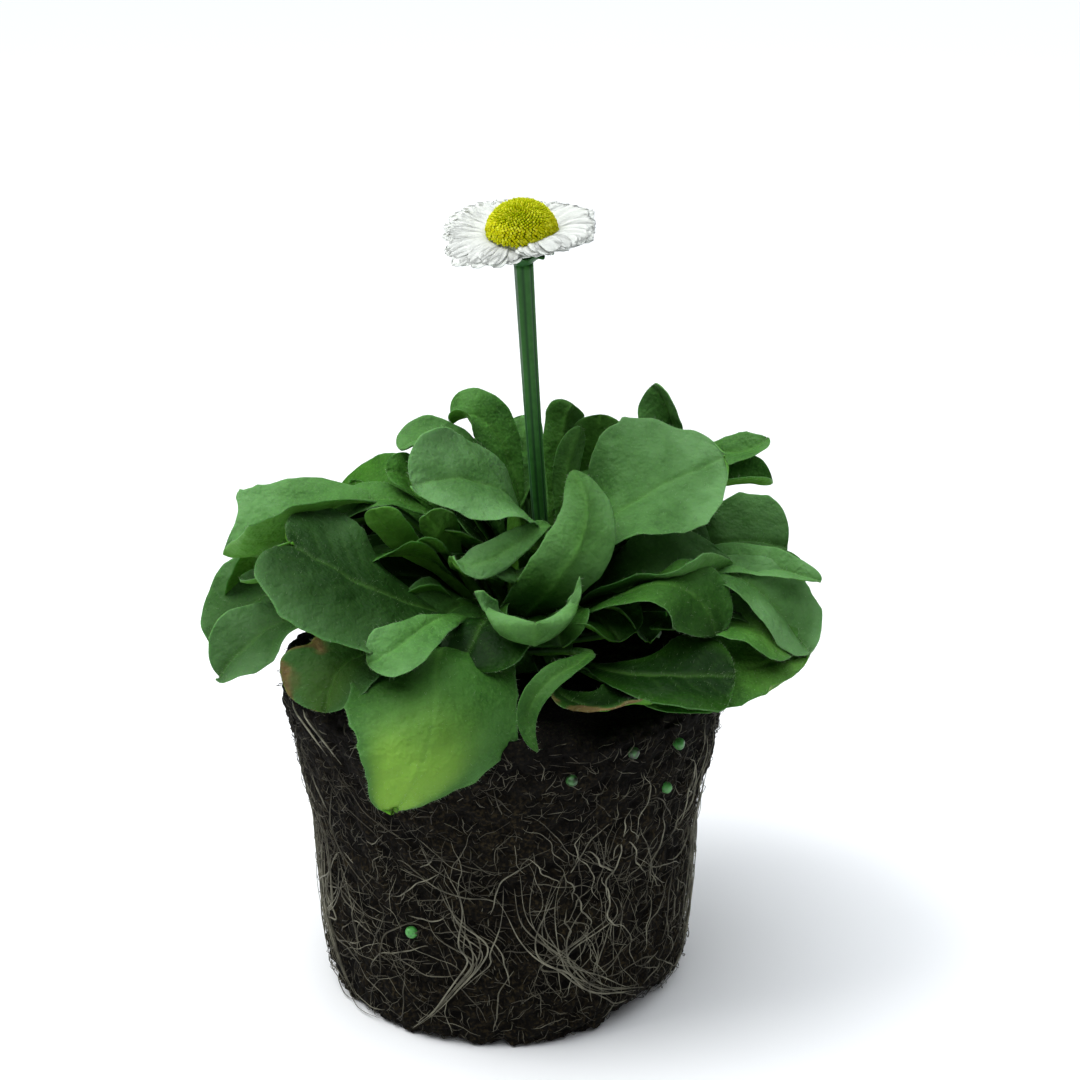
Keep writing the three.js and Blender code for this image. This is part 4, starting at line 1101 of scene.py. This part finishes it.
def make_crown(material):
    """The crown: a dome on the soil with scaly rings, whose radius follows a quarter circle."""
    rings, sides = 14, 48
    rise = np.linspace(0, 1, rings)
    radius = CROWN_RADIUS * np.sqrt(np.clip(1 - (0.94 * rise) ** 2.4, 0, 1))
    angle = round_angles(sides)
    r = radius[:, None] * (1 + 0.04 * np.sin(11 * angle + 5 * rise[:, None]))
    points = turned(r, SOIL_TOP - 1 + CROWN_HEIGHT * rise[:, None], angle)
    shell = Shell()
    shell.add(points + CROWN * [1, 1, 0], tube_faces(rings, sides), tone=0.2)
    shell.make("crown", material, "leaf", ["leaf_rosette"])


# Flower


def on_head(points):
    """Points about the head's middle, tilted towards the front and put in place."""
    c, s = np.cos(HEAD_TILT), np.sin(HEAD_TILT)
    x, y, z = points[..., 0], points[..., 1], points[..., 2]
    return HEAD + np.stack([x, c * y - s * z, s * y + c * z], -1)


def smooth_path(places, count):
    """A curve through the places, by Catmull-Rom pieces between evenly spaced ones."""
    ends = [2 * places[0] - places[1], *places, 2 * places[-1] - places[-2]]
    p = np.array(ends)
    s = np.linspace(0, len(places) - 1, count)
    i = np.minimum(s.astype(int), len(places) - 2)
    f = (s - i)[:, None]
    a, b, c, d = p[i], p[i + 1], p[i + 2], p[i + 3]
    return 0.5 * (2 * b + (c - a) * f + (2 * a - 5 * b + 4 * c - d) * f**2
                  + (3 * b - a - 3 * c + d) * f**3)


def make_stalk(material):
    """The stalk, a tube whose radius is waved by six ridges, the cup that carries the head and
    the bracts round it."""
    shell = Shell()
    rings, sides = 90, 48
    path = smooth_path(STALK_PATH, rings)
    share = np.linspace(0, 1, rings)[:, None]
    angle = round_angles(sides)
    ridge = np.cos(6 * angle + 1.2 * share) + 0.3 * np.cos(13 * angle - share)
    radius = lerp(*STALK_RADIUS, share**2) * (1 + 0.06 * ridge)
    ahead = unit(np.gradient(path, axis=0))
    right = unit(np.array([1.0, 0, 0]) - ahead[:, :1] * ahead)
    back = np.cross(ahead, right)
    points = (path[:, None] + right[:, None] * (radius * np.cos(angle))[..., None]
              + back[:, None] * (radius * np.sin(angle))[..., None])
    shell.add(points, tube_faces(rings, sides), groove=np.clip(-ridge, 0, 1))

    profile = np.array([[-5.8, 1.4], [-5, 2.1], [-4.4, 2.7], [-3.4, 3.8], [-2.4, 4.9],
                        [-1.6, 5.6], [PLATE_UNDER - PLATE_GAP, 6]])
    r = profile[:, 1][:, None] * (1 + 0.02 * np.cos(13 * angle))
    cup = turned(r, profile[:, :1], angle)
    shell.add(on_head(cup), tube_faces(len(profile), sides), groove=0.6)
    for k in range(BRACTS):
        heading = 2 * np.pi * (k + 0.2 * chance(k + 60)) / BRACTS
        s = np.linspace(0, 1, 14)[:, None]
        half = 1.25 * (0.6 + 0.4 * np.minimum(1, 2.2 * s)) * np.sqrt(np.clip(1.02 - s**3, 0.01, 1))
        height = -2.9 + 1.5 * s - 0.6 * s**3 + 0.3 * crosswise(9) ** 2
        points = tongue(heading, 3.4 + 3.4 * s, half[:, 0], height, 0.35, 9)
        shell.add(points, tube_faces(14, 16), groove=0.4)
    shell.make("flower_stalk_and_cup", material, "stalk", ["flower_stalk"])


def crosswise(columns):
    """Places from -1 to 1 across a strap, closer together at its edges."""
    return np.sin(np.linspace(-1, 1, columns) * np.pi / 2)


def tongue(heading, r, half, height, thickness, columns):
    """A strap of the head as a flattened tube: at each distance r from the middle it is half wide
    to each side and height high. r and height are one number a row or one a point."""
    v = crosswise(columns)
    flat = np.stack([r + 0 * v, half[:, None] * v, height + 0 * v], -1)
    normal = unit(np.cross(np.gradient(flat, axis=0), np.gradient(flat, axis=1)))
    wall = (thickness / 2 * np.sqrt(np.clip(1 - v**6, 0, 1)))[None, :, None]
    upper, lower = flat + normal * wall, flat - normal * wall
    rings = np.concatenate([upper[:, ::-1], lower[:, 1:-1]], axis=1)
    c, s = np.cos(heading), np.sin(heading)
    x, y = rings[..., 0], rings[..., 1]
    return on_head(np.stack([c * x - s * y, s * x + c * y, rings[..., 2]], -1))


def make_rays(material):
    """Three layers of white rays that overlap like shingles into one ruffled skirt. Each is a
    strap whose height goes as s^1.6 to that of RAY_ENDS over an arch of sin(pi s^0.7). Its edge
    towards the front lies over the next ray, noise that all rays share ruffles them, and its end
    is toothed."""
    shell = Shell()
    rows, columns, count = 18, 11, RAYS_PER_LAYER
    s = np.linspace(0, 1, rows)[:, None]
    v = crosswise(columns)
    half = (RAY_HALF_WIDTH * (0.5 + 0.5 * np.minimum(1, 2.0 * s))
            * np.sqrt(np.clip(1.03 - s**9, 0.02, 1)))
    for n in range(RAY_LAYERS * count):
        layer, k = divmod(n, count)
        turn = 360 * (k + layer / RAY_LAYERS + 0.4 * (chance(n + 400) - 0.5)) / count - 180
        reach, end, arch = (np.interp(turn, RAY_ENDS[:, 0], RAY_ENDS[:, i]) for i in (1, 2, 3))
        reach *= 0.95 + 0.08 * chance(n + 450) - 0.03 * layer
        start = 0.25 * layer - 0.1
        end += start + 0.4 * (chance(n + 550) - 0.5)
        teeth = 0.2 * np.cos(3 * np.pi * v + 6 * chance(n + 650)) - 0.3 * v**2
        r = RAY_ROOT + (reach - RAY_ROOT) * s + teeth * s**8
        heading = np.radians(turn)
        place = np.stack([
            r * np.cos(heading) - half * v * np.sin(heading),
            r * np.sin(heading) + half * v * np.cos(heading), 0 * r], -1)
        edge = (0.4 * np.cos(heading) + 0.2 * (chance(n + 600) - 0.5)) * v * np.minimum(1, 2 * s)
        ruffle = (0.6 * cloud(place, 4, 60) + 0.1 * cloud(place, 1.3, 61)) * s
        fold = 0.12 * np.cos(2.4 * np.pi * v) * s
        height = start + (end - start) * s**1.6 + arch * np.sin(np.pi * s**0.7)
        points = tongue(heading, r, half[:, 0], height + edge + ruffle + fold, RAY_THICKNESS,
                        columns)
        along = np.broadcast_to(s, (rows, 2 * columns - 2))
        shell.add(points, tube_faces(rows, 2 * columns - 2), along=along)
    sides = 48
    plate = np.array([[6.2, PLATE_UNDER], [6.5, 0.0], [6.5, 0.4], [6.2, PLATE_OVER]])
    rings = turned(plate[:, :1], plate[:, 1:], round_angles(sides))
    shell.add(on_head(rings), tube_faces(4, sides), along=0.0)
    shell.make("white_rays", material, "ray_floret", ["ray_florets"])


def make_disc(material):
    """The dome of disc florets: a smooth ellipsoid under small tubes, set by the golden angle at
    equal areas. Outer tubes have opened into lobes, inner ones are round buds."""
    shell = Shell()
    floor = PLATE_OVER + PLATE_GAP
    rings, sides = 20, 64
    rise = np.linspace(0, 0.97, rings)[:, None] * np.pi / 2
    core = turned((DISC_RADIUS - 0.6) * np.cos(rise), floor + (DISC_HEIGHT - 1) * np.sin(rise),
                  round_angles(sides))
    shell.add(on_head(core), tube_faces(rings, sides), height=0.0, open=0.0, tone=0.0)

    k = np.arange(FLORETS)
    outward = np.arccos(1 - (k + 0.5) / FLORETS)
    turn = GOLDEN_ANGLE * k + 0.05 * (chance(k + 850) - 0.5)
    radial = np.stack([np.cos(turn), np.sin(turn), 0 * turn], -1)
    foot = (radial * ((DISC_RADIUS - 0.75) * np.sin(outward))[:, None]
            + np.array([0, 0, 1.0]) * (floor + (DISC_HEIGHT - 1.15) * np.cos(outward))[:, None])
    normal = unit(radial * (np.sin(outward) / DISC_RADIUS)[:, None]
                  + np.array([0, 0, 1.0]) * (np.cos(outward) / DISC_HEIGHT)[:, None])
    right = unit(np.cross(normal, radial + [0.01, 0, 0.02]))
    other = np.cross(normal, right)
    opened = np.clip((outward - np.radians(50)) / np.radians(15), 0, 1)
    rows, lobes = 4, 8
    step = np.linspace(0, 1, rows)
    around = round_angles(lobes)
    bud = np.array([0.22, 0.25, 0.21, 0.07])
    wide = np.array([0.18, 0.21, 0.27, 0.15])
    girth = bud + (wide - bud) * opened[:, None]
    star = 1 + 0.16 * opened[:, None, None] * step[None, :, None] * np.cos(4 * around)
    ring_radius = girth[..., None] * star
    tall = (0.7 + 0.3 * chance(k + 700))[:, None] * np.where(opened[:, None] > 0.5,
                                                              [0, 0.5, 1, 0.9], step)
    points = (foot[:, None, None] + normal[:, None, None] * tall[..., None, None]
              + right[:, None, None] * (ring_radius * np.cos(around))[..., None]
              + other[:, None, None] * (ring_radius * np.sin(around))[..., None])
    # height darkens each floret towards its foot, as painted shade.
    shell.add_copies(
        on_head(points.reshape(FLORETS, -1, 3)), tube_faces(rows, lobes),
        height=np.repeat(np.clip(step * 1.4 + 0.35 * (1 - opened[:, None]), 0, 1), lobes, axis=1),
        open=opened, tone=chance(k + 800) ** 3)
    shell.make("disc_florets", material, "disc_floret", ["flower_disc"])


# Studio


def floor_finish(tree):
    """Matt white board: even and pale, with hardly any gloss."""
    return {"Base Color": linear("#f2f3f3"), "Roughness": 0.8, "Specular IOR Level": 0.2}


def make_stage():
    """A pale floor that runs to the horizon, a pale surround and soft light from above."""
    mesh = bpy.data.meshes.new("floor")
    mesh.from_pydata([(-3, -3, 0), (3, -3, 0), (3, 3, 0), (-3, 3, 0)], [], [(0, 1, 2, 3)])
    floor = bpy.data.objects.new("floor", mesh)
    mesh.materials.append(make_material("pale studio floor", floor_finish))
    bpy.context.scene.collection.objects.link(floor)

    world = bpy.data.worlds.new("pale surround")
    world.use_nodes = True
    tree = world.node_tree
    tree.nodes.clear()
    way = add(tree, "TexCoord").outputs["Generated"]
    height = add(tree, "SeparateXYZ", {0: way}).outputs["Z"]
    strength = add(tree, "MapRange", {
        "Value": height, "From Min": 0.6, "From Max": 0.95, "To Min": 0.05, "To Max": 3.0})
    sky = add(tree, "Background", {
        "Color": linear("#f7faff"), "Strength": strength.outputs[0]})
    add(tree, "OutputWorld", {"Surface": sky.outputs[0]})
    bpy.context.scene.world = world

    lamps = [("overhead", (-0.5, -0.1, 0.85), 0.6, 7), ("front", (0.2, -0.9, 0.45), 0.5, 0.4)]
    for name, place, size, power in lamps:
        lamp = bpy.data.lights.new(name, "AREA")
        lamp.size = size
        lamp.energy = power
        holder = bpy.data.objects.new(name, lamp)
        holder.location = place
        aim = np.array([0, 0, 0.09]) - place
        holder.rotation_mode = "QUATERNION"
        holder.rotation_quaternion = Vector(aim).to_track_quat("-Z", "Y")
        bpy.context.scene.collection.objects.link(holder)

    camera = bpy.data.cameras.new("camera")
    camera.lens = 73.6
    camera.sensor_width = 36
    viewer = bpy.data.objects.new("camera", camera)
    viewer.location = (0.0074, -0.430, 0.250)
    viewer.rotation_euler = (np.radians(70.4), 0, 0)
    bpy.context.scene.collection.objects.link(viewer)
    bpy.context.scene.camera = viewer
    bpy.context.scene.view_settings.view_transform = "Standard"


make_stage()
leaf_skin = make_material("daisy leaf, green and downy", leaf_finish)
make_soil(make_material("damp peat and coir", peat_finish))
make_roots(make_material("dusty feeder root", root_finish))
make_grains(make_material("resin-coated feed grain", grain_finish))
make_leaves(leaf_skin, make_material("leaf down, fine white hairs", hair_finish))
make_crown(leaf_skin)
make_stalk(make_material("ridged flower stalk", stalk_finish))
make_rays(make_material("white ray floret", ray_finish))
make_disc(make_material("yellow disc floret", disc_finish))
